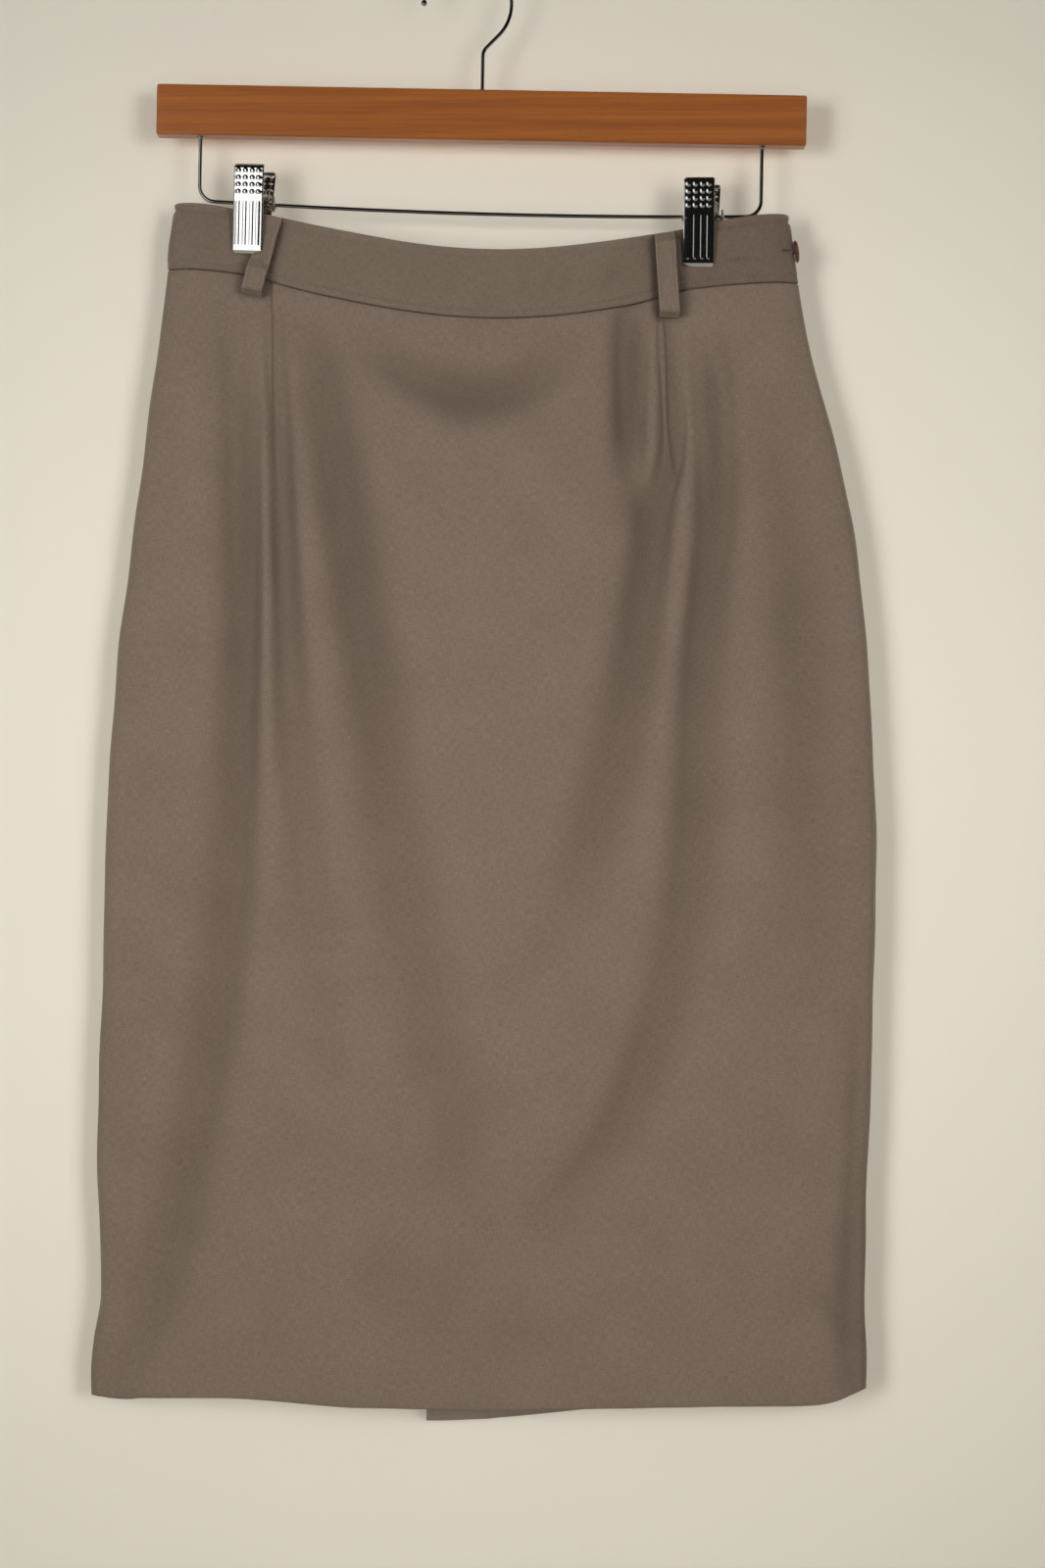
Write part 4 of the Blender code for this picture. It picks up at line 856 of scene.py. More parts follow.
# How far the cloth of a panel stands out of its plain form
def panelRelief(turn, down, seamDistance):
    x, isBack = acrossOf(turn, down), atBack(turn)
    level = skirt["waistZ"] - heightOf(turn, x, down)
    edgeOff = 1 - np.abs(np.sin(np.radians(turn))) ** panels["creasesEndAtEdge"]
    drawn = drawnIn(turn, down, x)
    room = np.maximum(0.0, skirt["deepestFold"] * standOff(turn, down, x) - drawn)
    deeper = np.minimum(panels["foldExtra"] * drawn, room)
    relief = dartRelief(x, down, isBack) - creasesAt(x, level, isBack) * edgeOff - deeper
    # The allowances pressed open behind the seams, and the turned hem with its stitches
    soft = panels["allowanceSoft"]
    beside = 1 - ease(panels["allowance"] - soft, panels["allowance"] + soft, seamDistance)
    relief += panels["allowanceRise"] * beside
    up = skirt["length"] - down - panels["hemAllowance"]
    relief += panels["hemRise"] * (1 - ease(*panels["hemSoft"], up))
    dimples = np.maximum(0.0, np.cos(2 * math.pi * x / panels["hemStitch"])) ** panels["dimpleSharp"]
    atStitches = np.exp(-((up + panels["dimpleBelow"]) / panels["dimpleReach"]) ** 2)
    relief -= panels["hemDimple"] * dimples * atStitches
    calm = ease(0.0, panels["calmReach"], down - skirt["bandHeight"])
    calm = panels["unevenAtSeam"] + (1 - panels["unevenAtSeam"]) * calm
    return relief + uneven(x + panels["unevenBack"] * isBack, level, panels["uneven"]) * calm


def zipHalfGap(down):
    return skirt["gap"] / 2 + skirt["zipOpening"] * (1 - ease(*skirt["zipOpeningEnd"], down))


def panelRows():
    nearTop = (panelTop, panels["topReach"], panels["topStep"])
    nearHem = (skirt["length"] - panels["hemAllowance"], panels["hemReach"], panels["hemStep"])
    upper = graded(panelTop + edgeSteps[-1], ventTop, panels["rowStep"], (nearTop,))
    lower = graded(ventTop, skirt["length"] - edgeSteps[-1], panels["rowStep"], (nearHem,))
    return np.concatenate([panelTop + edgeSteps[:-1], upper, lower[1:], skirt["length"] - edgeSteps[-2::-1]])


# Shares across a half of the skirt from edge to edge, whose close columns follow the darts down
def dartColumns(downs, isBack):
    rows = [dart for dart in darts.values() if dart["isBack"] == isBack]
    tops = [dart["line"][0][1] for dart in rows]
    start = [shareOf(x, edgeBeside(x, panelTop)) for x in tops]
    tight = [(share, panels["dartColumnReach"], panels["dartColumnShare"]) for share in start]
    shares = graded(-1.0, 1.0, panels["columnShare"], tight)
    placed = []
    for down in downs:
        now = [shareOf(dartX(dart, down), edgeBeside(x, down)) for dart, x in zip(rows, tops)]
        placed.append(np.interp(shares, [-1.0] + start + [1.0], [-1.0] + now + [1.0]))
    return np.array(placed)


# Columns behind a side edge, out to a piece's own edge there
def sideColumns(reach):
    inner = np.arange(panels["sideFrom"], reach - panels["sideStep"], panels["sideStep"])
    return np.concatenate([panels["sideFirst"], inner, (reach - edgeSteps)[::-1]])


# A panel's wall on its grid, given each point's distance from a side edge of the piece
def makePanel(name, node, turns, down, edge, relief, marks, start, keep=None, lower=0.0):
    edge = np.minimum(edge, np.minimum(down - down[0], down[-1] - down))
    half = halfWall(edge, skirt["cloth"])
    outer = clothPoint(turns, down, skirt["cloth"] / 2 + half + relief) - lower
    inner = clothPoint(turns, down, skirt["cloth"] / 2 - half + relief) - lower
    return piece(shell(name, outer, inner, materials["wool"], cutOf(outer, down, start), marks, keep), node)


def gridOf(downs, *lists):
    turns = np.array(lists[0])
    return (downs[:, None] + np.zeros(turns.shape), turns, *[np.array(rows) for rows in lists[1:]])


def makeFrontPanel():
    downs = panelRows()
    rightEdge = skirt["seamBehind"] - skirt["gap"] / 2
    rightGaps = sideColumns(rightEdge)[::-1]
    leftGaps = sideColumns(skirt["zipBehind"] - skirt["gap"] / 2)
    turns, edge, seam = [], [], []
    for down, middle in zip(downs, turnOfShare(dartColumns(downs, False))):
        leftEdge = skirt["zipBehind"] - zipHalfGap(down)
        leftHere = leftGaps * leftEdge / leftGaps[-1]
        turns.append(np.concatenate([behind(-1, rightGaps, down), middle, behind(1, leftHere, down)]))
        past = halfWidth(middle, down) * (1 - np.abs(np.sin(np.radians(middle)))) + panels["allowance"]
        for rows, between in ((edge, np.full(len(middle), far)), (seam, past)):
            rows.append(np.concatenate([rightEdge - rightGaps, between, leftEdge - leftHere]))
    down, turns, edge, seam = gridOf(downs, turns, edge, seam)
    return makePanel("frontCloth", "front_panel", turns, down, edge, panelRelief(turns, down, seam),
                     {"shade": foldShade(turns, down)}, turns.shape[1] // 2)


# The columns of a half of the back between its own edges, where first and last are x
def backMiddle(half, shares, first, last):
    across = half * np.sin(np.radians(180.0 - turnOfShare(shares)))
    return (first + (last - first) * (across - across[0]) / (across[-1] - across[0]))[1:-1]


# The wearer's left back, from its side seam to the centre, and on under the other side at the vent
def makeLeftBack(downs, shares):
    shares = shares[:, shares[0] > panels["centreShare"]]
    flap = np.concatenate([graded(panels["flapFrom"], skirt["underlap"] - edgeSteps[-1], panels["flapStep"]),
                           skirt["underlap"] - edgeSteps[-2::-1]])
    centre = edgeSteps[::-1]
    turns, edge, seam = [], [], []
    for down, row in zip(downs, shares):
        start = skirt["zipBehind"] + zipHalfGap(down)
        half = read(sections, left, down)
        nearSide = start + edgeSteps
        middle = backMiddle(half, row, half - nearSide[-1], centre[0] + skirt["gap"] / 2)
        xs = np.concatenate([half - nearSide, middle, skirt["gap"] / 2 + centre, -flap])
        turns.append(turnOf(xs, down, True))
        inVent = down >= ventTop
        edge.append(np.concatenate([
            nearSide - start, np.full(len(middle), far), np.full(len(centre), far) if inVent else centre,
            skirt["underlap"] - flap if inVent else np.full(len(flap), far)]))
        seam.append(np.minimum(half - xs - start, np.abs(xs)))
    down, turns, edge, seam = gridOf(downs, turns, edge, seam)
    across = acrossOf(turns, down)
    opened = ease(ventTop, skirt["length"], down)
    tuck = ease(*skirt["flapTuck"], across) * ease(ventTop - vent["tuckFrom"], ventTop, down)
    relief = panelRelief(turns, down, seam) - (skirt["cloth"] + skirt["gap"]) * tuck
    droop = skirt["ventDroop"] * (1 - ease(-skirt["underlap"], skirt["ventDroopReach"], across)) * opened
    flapColumn = turns.shape[1] - 1 - len(flap)
    keep = np.ones((len(downs) - 1, turns.shape[1] - 1), bool)
    keep[downs[:-1] < ventTop - nearly, flapColumn:] = False
    up = skirt["length"] - down
    alongVent = ease(*vent["shadeTop"], down - ventTop) * ease(*vent["shadeFoot"], up)
    slit = np.exp(-np.abs(across - vent["shadeAt"]) / vent["shadeReach"]) * alongVent
    shade = np.minimum(1.0, foldShade(turns, down) + vent["shade"] * slit)
    # Painted light: the flap's foot, which lies in the shadow of the front's hem, is lightened
    wornAndLit = vent["wornAndLit"] * (1 - ease(*vent["flapLitFoot"], up)) * (1 - ease(*vent["flapLitEnd"], across))
    return makePanel("leftBackCloth", "back_panel_left", turns, down, edge, relief,
                     {"wornAndLit": wornAndLit, "shade": shade}, flapColumn, keep, droop[..., None] * (0.0, 0.0, 1.0))


# The wearer's right back, from the centre to its side seam
def makeRightBack(downs, shares):
    shares = shares[:, shares[0] < -panels["centreShare"]]
    start = skirt["seamBehind"] + skirt["gap"] / 2
    nearSide = start + edgeSteps[::-1]
    turns, edge, seam = [], [], []
    for down, row in zip(downs, shares):
        half = read(sections, right, down)
        middle = backMiddle(half, row, -skirt["gap"] / 2 - edgeSteps[-1], -half + nearSide[0])
        xs = np.concatenate([-skirt["gap"] / 2 - edgeSteps, middle, -half + nearSide])
        turns.append(turnOf(xs, down, True))
        edge.append(np.concatenate([edgeSteps, np.full(len(middle), far), nearSide - start]))
        seam.append(np.minimum(half + xs - start, np.abs(xs)))
    down, turns, edge, seam = gridOf(downs, turns, edge, seam)
    fromCentre = -acrossOf(turns, down)
    lifted = ease(ventTop, skirt["length"], down) * np.exp(-(fromCentre / vent["liftReach"]) ** 2)
    relief = panelRelief(turns, down, seam) + vent["lift"] * lifted
    inVent = ease(ventTop - vent["foldWornTop"], ventTop, down)
    wornAndLit = vent["foldWorn"] * np.exp(-fromCentre / vent["foldWornReach"]) * inVent
    return makePanel("rightBackCloth", "back_panel_right", turns, down, edge, relief,
                     {"wornAndLit": wornAndLit, "shade": foldShade(turns, down)}, 0)


backRows = panelRows()
backShares = dartColumns(backRows, True)[:, ::-1]
frontCloth = makeFrontPanel()
leftBackCloth = makeLeftBack(backRows, backShares)
rightBackCloth = makeRightBack(backRows, backShares)
print("stage: panels made")

# The waistband
band = {
    "columnStep": 1.7, "columns": 195, "rowStep": 1.1,
    "rollAt": 3.9, "rollDepth": 0.30, "rollWidth": 1.3, "rollMore": 0.60, "rollMoreFrom": (80.0, 125.0),
    "stitchAt": 34.7, "grooveDepth": 0.42, "grooveWidth": 0.75, "belowStitch": 0.3, "belowReach": 2.0,
    "ripple": 0.10, "rippleLength": 6.3, "rippleDrift": 1.7, "rippleDriftLength": 17.0, "rippleReach": 3.0,
    "uneven": 0.16, "unevenAcross": 1.6, "unevenDown": 2.0, "unevenBack": 17.0, "innerFollows": 0.5,
    "holeAt": 20.8, "holeFront": 8.5, "holeBack": 4.0, "holeDepth": 0.7, "holeWidth": 0.28, "holeSoft": 0.3,
    "underStart": 9.0, "underEnd": 1.5, "sideTurns": 60.0,
    "shade": 0.26, "endShade": 0.30, "endShadeFrom": (90.0, 125.0), "creaseShade": 0.42,
    "topWorn": 0.55, "topWornReach": 1.5, "footWorn": 0.15, "footWornReach": 0.8,
}
# Where its rows stand close: middle, reach and step
bandTight = ((band["holeAt"], 0.9, 0.15), (band["stitchAt"], 1.5, 0.32), (band["rollAt"], 1.5, 0.6))


# Distance along the left edge from the button, forwards being negative
def fromButton(turn, down):
    angle = np.radians(turn - 90.0)
    edge, deep = read(sections, left, down), read(sections, front, down)
    along = edge * (1 - np.cos(angle)) + deep * np.abs(np.sin(angle))
    return np.where(np.abs(turn - 90.0) < band["sideTurns"], np.sign(angle) * along, far)


def bandRelief(turn, down):
    x, isBack = acrossOf(turn, down), atBack(turn)
    roll = band["rollDepth"] + band["rollMore"] * ease(*band["rollMoreFrom"], np.abs(x))
    relief = -roll * np.exp(-((down - band["rollAt"]) / band["rollWidth"]) ** 2)
    below = down - band["stitchAt"]
    relief -= band["grooveDepth"] * np.exp(-(below / band["grooveWidth"]) ** 2)
    relief -= band["belowStitch"] * ease(0.0, band["belowReach"], below)
    drift = band["rippleDrift"] * np.sin(x / band["rippleDriftLength"])
    ripple = np.sin(2 * math.pi * x / band["rippleLength"] + drift)
    relief += band["ripple"] * ripple * np.exp(-(below / band["rippleReach"]) ** 2)
    relief -= np.where(isBack, 0.0, troughs(bandCreases, x, down))
    along, soft = fromButton(turn, down), band["holeSoft"]
    inHole = ease(-band["holeFront"] - soft, -band["holeFront"] + soft, along)
    inHole = inHole * (1 - ease(band["holeBack"] - soft, band["holeBack"] + soft, along))
    relief -= band["holeDepth"] * inHole * np.exp(-((down - band["holeAt"]) / band["holeWidth"]) ** 2)
    phase = band["unevenBack"] * isBack
    return relief + uneven(x * band["unevenAcross"] + phase, down * band["unevenDown"], band["uneven"])


def makeBand(name, node, turnsAt, edgesAt, shiftAt=None):
    downs = edged(0.0, skirt["bandHeight"] - skirt["gap"] / 2, band["rowStep"], bandTight)
    turns = np.array([turnsAt(down) for down in downs])
    down = downs[:, None] + np.zeros(turns.shape)
    edge = np.array([edgesAt(row, at) for row, at in zip(turns, downs)])
    edge = np.minimum(edge, np.minimum(down, downs[-1] - down))
    shift = shiftAt(turns, down) if shiftAt else 0.0
    relief = bandRelief(turns, down) + shift
    half = halfWall(edge, skirt["bandCloth"])
    outer = clothPoint(turns, down, skirt["bandCloth"] / 2 + half + relief)
    behindIt = np.maximum(relief, shift - band["innerFollows"])
    inner = clothPoint(turns, down, skirt["bandCloth"] / 2 - half + behindIt)
    foot = downs[-1] - down
    wornAndLit = np.exp(-down / band["topWornReach"]) * band["topWorn"]
    wornAndLit += np.exp(-foot / band["footWornReach"]) * band["footWorn"]
    x = acrossOf(turns, down)
    shade = band["shade"] + band["endShade"] * ease(*band["endShadeFrom"], x) + loopShade(turns, down)
    shade += panels["seamShade"] * np.exp(-(foot / panels["seamShadeReach"]) ** 2)
    shade += band["creaseShade"] * ~atBack(turns) * np.maximum(troughs(bandCreases, x, down), 0.0)
    uvs = cutOf(outer, down, turns.shape[1] // 2)
    return piece(shell(name, outer, inner, materials["wool"], uvs, {"wornAndLit": wornAndLit, "shade": shade}), node)


bandShares = np.linspace(-1.0, 1.0, band["columns"])
rightEnd = skirt["seamBehind"] - skirt["gap"] / 2


def bandFrontTurns(down):
    return np.concatenate([behind(-1, sideColumns(rightEnd)[::-1], down), turnOfShare(bandShares),
                           behind(1, sideColumns(skirt["bandLap"]), down)])


def bandFrontEdges(turns, down):
    return np.concatenate([rightEnd - sideColumns(rightEnd)[::-1], np.full(len(bandShares), far),
                           skirt["bandLap"] - sideColumns(skirt["bandLap"])])


def bandBackXs(down):
    start = read(sections, left, down) - skirt["bandUnderlapEnd"]
    length = start + read(sections, right, down) - skirt["seamBehind"] - skirt["gap"] / 2
    middle = graded(edgeSteps[-1], length - edgeSteps[-1], band["columnStep"])[1:-1]
    return start - np.concatenate([edgeSteps, middle, length - edgeSteps[::-1]])


backColumns = len(bandBackXs(0.0))


def bandBackTurns(down):
    xs = bandBackXs(down)
    xs = np.interp(np.linspace(0, 1, backColumns), np.linspace(0, 1, len(xs)), xs)
    return turnOf(xs, down, True)


def bandBackEdges(turns, down):
    xs = acrossOf(turns, down)
    return np.minimum(xs[0] - xs, xs - xs[-1])


# The back band's end runs under the front's
def underShift(turns, down):
    distance = halfWidth(turns, down) * (1 - np.sin(np.radians(turns)))
    hidden = ease(skirt["bandLap"] + band["underStart"], skirt["bandLap"] + band["underEnd"], distance)
    return -(skirt["bandCloth"] + skirt["gap"]) * np.where(turns < 180.0, hidden, 0.0)


bandFrontCloth = makeBand("frontBandCloth", "band_front", bandFrontTurns, bandFrontEdges)
bandBackCloth = makeBand("backBandCloth", "band_back", bandBackTurns, bandBackEdges, underShift)
print("stage: waistband made")


# A unit vector, or a row of them
def unit(vectors):
    return vectors / np.linalg.norm(vectors, axis=-1, keepdims=True)


def circle(sides):
    return np.arange(sides) * 2 * math.pi / sides


# Rings of so many corners, one after another, joined by quads; turned makes them face the other way
def ringFaces(rings, sides, closed=False, turned=False):
    faces = []
    for ring in range(rings if closed else rings - 1):
        low, high = ring * sides, (ring + 1) % rings * sides
        for i in range(sides):
            j = (i + 1) % sides
            face = [low + i, low + j, high + j, high + i]
            faces.append([face[0], *face[:0:-1]] if turned else face)
    return faces


# The flat ends of such rings, where the quads are turned
def endFaces(rings, sides):
    return [list(range(sides)), list(range((rings - 1) * sides, rings * sides))[::-1]]


# A round bar along a path of points; radii has one radius for each point
def tubeMesh(path, radii, sides=8):
    path, radii = np.asarray(path, float), np.broadcast_to(np.asarray(radii, float), (len(path),))
    tangent = unit(np.gradient(path, axis=0))
    first = np.cross(tangent[0], (0.0, 1.0, 0.0))
    if np.linalg.norm(first) < 0.2:  # the path runs along Y
        first = np.cross(tangent[0], (1.0, 0.0, 0.0))
    across = unit(first)
    points, around = [], circle(sides)
    for here, along, radius in zip(path, tangent, radii):
        across = unit(across - along * np.dot(across, along))
        other = np.cross(along, across)
        points.append(here + radius * (np.cos(around)[:, None] * across + np.sin(around)[:, None] * other))
    first, last = [face[::-1] for face in endFaces(len(path), sides)]
    return np.concatenate(points), [first] + ringFaces(len(path), sides) + [last]


def joined(parts):
    points, faces, count = [], [], 0
    for some, quads in parts:
        points.append(some)
        faces += [[index + count for index in face] for face in quads]
        count += len(some)
    return np.concatenate(points), faces


# One stitch is a short tube that dips into the cloth at its ends
thread = {
    "length": 2.5, "gap": 0.55, "radius": 0.2, "bandLift": 0.02, "sides": 6,
    "shares": (0.0, 0.12, 0.35, 0.65, 0.88, 1.0), "heights": (-1.3, -0.1, 0.45, 0.45, -0.1, -1.3),
    "thickness": (0.35, 0.85, 1.0, 1.0, 0.85, 0.35),
}
bandThread = {
    "frontEnds": (7.4, 1.2), "frontPoints": 900, "backEnds": (0.8, 8.8), "backPoints": 800,
    "lapEnds": (1.2, 1.4), "lapIn": 1.6, "lapPoints": 60,
}


def stitchesOn(line, outwards, length=thread["length"], gap=thread["gap"], radius=thread["radius"], lift=0.0):
    along = np.concatenate([[0.0], np.cumsum(np.linalg.norm(np.diff(line, axis=0), axis=1))])
    count = max(1, int((along[-1] + gap) / (length + gap)))
    start = (along[-1] - count * (length + gap) + gap) / 2
    heights, radii = np.array(thread["heights"]) * radius + lift, np.array(thread["thickness"]) * radius
    parts = []
    for index in range(count):
        places = start + index * (length + gap) + np.array(thread["shares"]) * length
        here, out = [np.stack([np.interp(places, along, column) for column in rows.T], -1)
                     for rows in (line, outwards)]
        parts.append(tubeMesh(here + out * heights[:, None], radii, thread["sides"]))
    return parts


# The outer face of the waistband
def bandSurface(turn, down):
    return clothPoint(turn, down, skirt["bandCloth"] + bandRelief(turn, down))


def makeBandStitches():
    at, lap = band["stitchAt"], skirt["bandLap"]
    rightOf, leftOf = bandThread["frontEnds"]
    frontLine = np.linspace(behind(-1, rightOf, at), behind(1, lap - leftOf, at), bandThread["frontPoints"])
    leftOf, rightOf = bandThread["backEnds"]
    backFrom, backTo = behind(1, lap + leftOf, at), 360 + behind(-1, rightOf, at)
    backLine = np.linspace(backFrom, backTo, bandThread["backPoints"])
    parts = []
    for turns in (frontLine, backLine):
        parts += stitchesOn(bandSurface(turns, at), outward(turns, at), lift=thread["bandLift"])
    top, foot = bandThread["lapEnds"]
    lapDowns = np.linspace(top, skirt["bandHeight"] - foot, bandThread["lapPoints"])
    lapTurns = behind(1, lap - bandThread["lapIn"], lapDowns)
    parts += stitchesOn(bandSurface(lapTurns, lapDowns), outward(lapTurns, lapDowns))
    return trim(addMesh("bandStitches", *joined(parts), materials["thread"]))


# Close whipped threads round the buttonhole, with a bar at either end
hole = {
    "pitch": 0.42, "inside": 0.12, "reach": 1.05, "thread": 0.21, "rise": (-0.25, 0.12, 0.16, 0.10, -0.2),
    "barLength": 2.6, "barOut": 0.3, "barSteps": (-0.35, 0.0, 0.35), "barThread": 0.189,
    "barRise": (-0.2, 0.15, 0.22, 0.24, 0.22, 0.15, -0.2), "sides": 6, "searched": (60.0, 130.0, 1401),
}


def turnFromButton(distance):
    turns = np.linspace(*hole["searched"])
    return float(np.interp(distance, fromButton(turns, band["holeAt"]), turns))


# A thread across the band's face at a distance from the button, from one drop to another from the hole
def holeThread(place, start, end, rise, radius):
    turn, downs = turnFromButton(place), band["holeAt"] + np.linspace(start, end, len(rise))
    path = bandSurface(turn, downs) + outward(turn, downs) * np.array(rise)[:, None]
    return tubeMesh(path, radius, hole["sides"])


def makeButtonhole():
    parts = []
    for side in (-1, 1):
        for place in np.arange(-band["holeFront"], band["holeBack"], hole["pitch"]):
            start, end = side * hole["inside"], side * hole["reach"]
            parts.append(holeThread(place, start, end, hole["rise"], hole["thread"]))
    for end in (-band["holeFront"] - hole["barOut"], band["holeBack"] + hole["barOut"]):
        for step in hole["barSteps"]:
            reach = hole["barLength"] / 2
            parts.append(holeThread(end + step, -reach, reach, hole["barRise"], hole["barThread"]))
    return trim(addMesh("buttonholeStitches", *joined(parts), materials["buttonThread"]))


bandStitches = makeBandStitches()
buttonholeStitches = makeButtonhole()


# A belt loop: a strip that leaves the band, stands off and comes back at its foot, sewn along both edges
def makeLoop(name, look):
    (topX, topDown), (footX, footDown) = look["top"], look["foot"]
    length, halfAcross = footDown - topDown, loops["width"] / 2
    ends = edgeSteps / length
    shares = np.concatenate([ends, np.linspace(ends[-1], 1 - ends[-1], loops["rows"])[1:-1], 1 - ends[::-1]])
    between = np.linspace(-loops["columnsTo"], loops["columnsTo"], loops["columns"])[1:-1]
    sides = np.concatenate([edgeSteps - halfAcross, between, halfAcross - edgeSteps[::-1]])
    if look["isBack"]:
        sides = sides[::-1]
    x = topX + (footX - topX) * shares
    downs = topDown + length * shares
    downs = downs + seamLift(x, downs)
    across = x[:, None] + sides[None, :]
    down = downs[:, None] + np.zeros(across.shape)
    slant = heightOf(turnOf(across, down, look["isBack"]), across, down)
    down = down + look["level"] * shares[:, None] ** 2 * (slant - slant[:, [len(sides) // 2]])
    turns = turnOf(across, down, look["isBack"])
    # How far it stands off the band, along Y
    straight = np.array((0.0, 1.0 if look["isBack"] else -1.0, 0.0))
    atFoot = 1 - ease(loops["footBend"], 1.0, shares)
    rise = ease(look["flat"], look["flat"] + look["rise"], shares) * atFoot
    lifted = (ease(*loops["liftFrom"], shares) * atFoot)[:, None] * ease(*loops["liftSide"], sides)[None, :]
    stand = np.maximum(((loops["stand"] - skirt["gap"]) * rise)[:, None], look["sideLift"] * lifted)
    lean = np.clip(outward(turns, down) @ straight, loops["leastLean"], 1.0)
    wave = loops["wave"] * (np.sin(shares * loops["waves"] + topX) * np.sin(shares * math.pi))[:, None]
    crown = loops["crown"] * (1 - (sides / halfAcross) ** 2)[None, :]
    middle = (skirt["bandCloth"] + skirt["gap"]) / lean + stand + loops["cloth"] / 2 + crown + wave
    stitchAt = halfAcross - loops["stitchIn"]
    groove = loops["grooveDepth"] * np.exp(-((np.abs(sides) - stitchAt) / loops["grooveReach"]) ** 2)[None, :]
    fromSide = halfAcross - np.abs(sides)[None, :]
    half = halfWall(np.minimum((np.minimum(shares, 1 - shares) * length)[:, None], fromSide), loops["cloth"])
    base = innerPoint(turns, down)
    outer = base + straight * (middle + half - groove)[..., None]
    inner = base + straight * (middle - half)[..., None]
    uvs = cutOf(outer, down, len(sides) // 2) + np.array([topX * loops["cutX"], loops["cutY"]])
    wornAndLit = np.exp(-fromSide / loops["wornReach"]) * loops["wornAndLit"]
    made = piece(shell(name, outer, inner, materials["wool"], uvs, {"wornAndLit": wornAndLit}), look["node"])
    rows, columns = slice(*loops["stitchRows"]), slice(*loops["stitchColumns"])
    edges = [np.argmin(np.abs(sides - at)) for at in (stitchAt, -stitchAt)]
    lines = [(outer[rows, column], loops["sideStitch"]) for column in edges]
    lines += [(outer[row, columns], loops["endStitch"]) for row in loops["endRows"]]
    parts = []
    for line, stitch in lines:
        parts += stitchesOn(line, np.broadcast_to(straight, line.shape), *stitch)
    return made, trim(addMesh(name + "Stitches", *joined(parts), materials["thread"]))


loopPieces = {name: makeLoop(name, look) for name, look in loopPlaces.items()}
print("stage: belt loops and stitches made")

# The zip: its tape lies inside the seam, its coil on the inner face, and the slider stays as the CAD has it
zipLook = {
    "tapeWidth": 20.0, "tapeCloth": 0.8, "tapeTop": 40.0, "tapeFoot": 245.0, "rowStep": 2.4,
    "columnStep": 0.9, "edgeCord": 0.25, "cordIn": 1.4, "cordReach": 0.5,
    "coilTop": 42.0, "coilFoot": 237.0, "coilPitch": 1.25, "coilReach": (-0.35, 1.5), "coilSlant": 0.3,
    "coilThread": 0.42, "coilOff": 0.336, "coilRise": (0.35, 0.0, -0.12, 0.0, 0.4), "coilSides": 5,
}


def makeZipTape():
    downs = edged(zipLook["tapeTop"], zipLook["tapeFoot"], zipLook["rowStep"])
    halfAcross = zipLook["tapeWidth"] / 2
    sides = edged(-halfAcross, halfAcross, zipLook["columnStep"])
    turns = np.array([behind(1, skirt["zipBehind"] + sides, down) for down in downs])
    down = downs[:, None] + np.zeros(turns.shape)
    edge = np.minimum(halfAcross - np.abs(sides)[None, :], np.minimum(down - downs[0], downs[-1] - down))
    half = halfWall(edge, zipLook["tapeCloth"])
    cordAway = np.abs(sides) - (halfAcross - zipLook["cordIn"])
    cord = zipLook["edgeCord"] * np.exp(-(cordAway / zipLook["cordReach"]) ** 2)[None, :]
    middle = -skirt["gap"] - zipLook["tapeCloth"] / 2
    outer = clothPoint(turns, down, middle + half)
    inner = clothPoint(turns, down, middle - half - cord)
    uvs = cutOf(outer, down, len(sides) // 2)
    cloth = piece(shell("zipTapeCloth", outer, inner, materials["tape"], uvs), "zip_tape")
    parts = []
    out = middle - zipLook["tapeCloth"] / 2 - zipLook["coilOff"] + np.array(zipLook["coilRise"])
    reach = np.linspace(*zipLook["coilReach"], len(out))
    for index in range(int((zipLook["coilFoot"] - zipLook["coilTop"]) / zipLook["coilPitch"])):
        for side in (-1, 1):
            drop = zipLook["coilTop"] + index * zipLook["coilPitch"] + zipLook["coilSlant"] * side
            place = behind(1, skirt["zipBehind"] + reach * side, drop)
            parts.append(tubeMesh(clothPoint(place, drop, out), zipLook["coilThread"], zipLook["coilSides"]))
    return cloth, trim(addMesh("zipCoil", *joined(parts), materials["tape"]))


zipTapeCloth, zipCoil = makeZipTape()
for node in ("zip_slider", "zip_pull"):
    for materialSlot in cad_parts[node].material_slots:
        materialSlot.material = materials["zipMetal"]

# The drop between two places that give the cloth's upward direction
standStep = 6.0


# A place on the cloth, and its axes: along the cloth, into it and up
def standOnCloth(turn, down, out):
    along = unit(clothPoint(turn + turnStep, down, out) - clothPoint(turn - turnStep, down, out))
    up = clothPoint(turn, down - standStep, out) - clothPoint(turn, down + standStep, out)
    normal = unit(np.cross(along, up))
    return clothPoint(turn, down, out), np.stack([along, -normal, np.cross(normal, along)], -1)


# The button: radii are shares of its own; under is its back, and the crossing is a thread's way over its face
buttonLook = {
    "turn": 90.12, "drop": 20.8, "radius": 6.1, "thickness": 1.7, "sides": 112, "faceFrom": 0.05, "rings": 46,
    "dish": 0.45, "dishTo": 0.62, "rimFrom": 0.80, "round": 0.75, "roundAngles": (75, -60, 10),
    "under": ((0.80, 0.05), (0.5, 0.0), (0.05, 0.0)),
    "holeAt": 1.096005, "holeEdge": (0.50, 0.74), "holeDepth": 1.1, "threadSides": 6,
    "faceThread": 0.187, "threadApart": 0.26, "threadsClose": 0.7,
    "crossing": ((-1.0, -0.8), (-0.9, 0.05), (-0.4, 0.32), (0.4, 0.32), (0.9, 0.05), (1.0, -0.8)),
    "shankThread": 0.34, "shank": ((0.8, 0.25), (0.7, -0.1), (0.8, -0.7)),
}


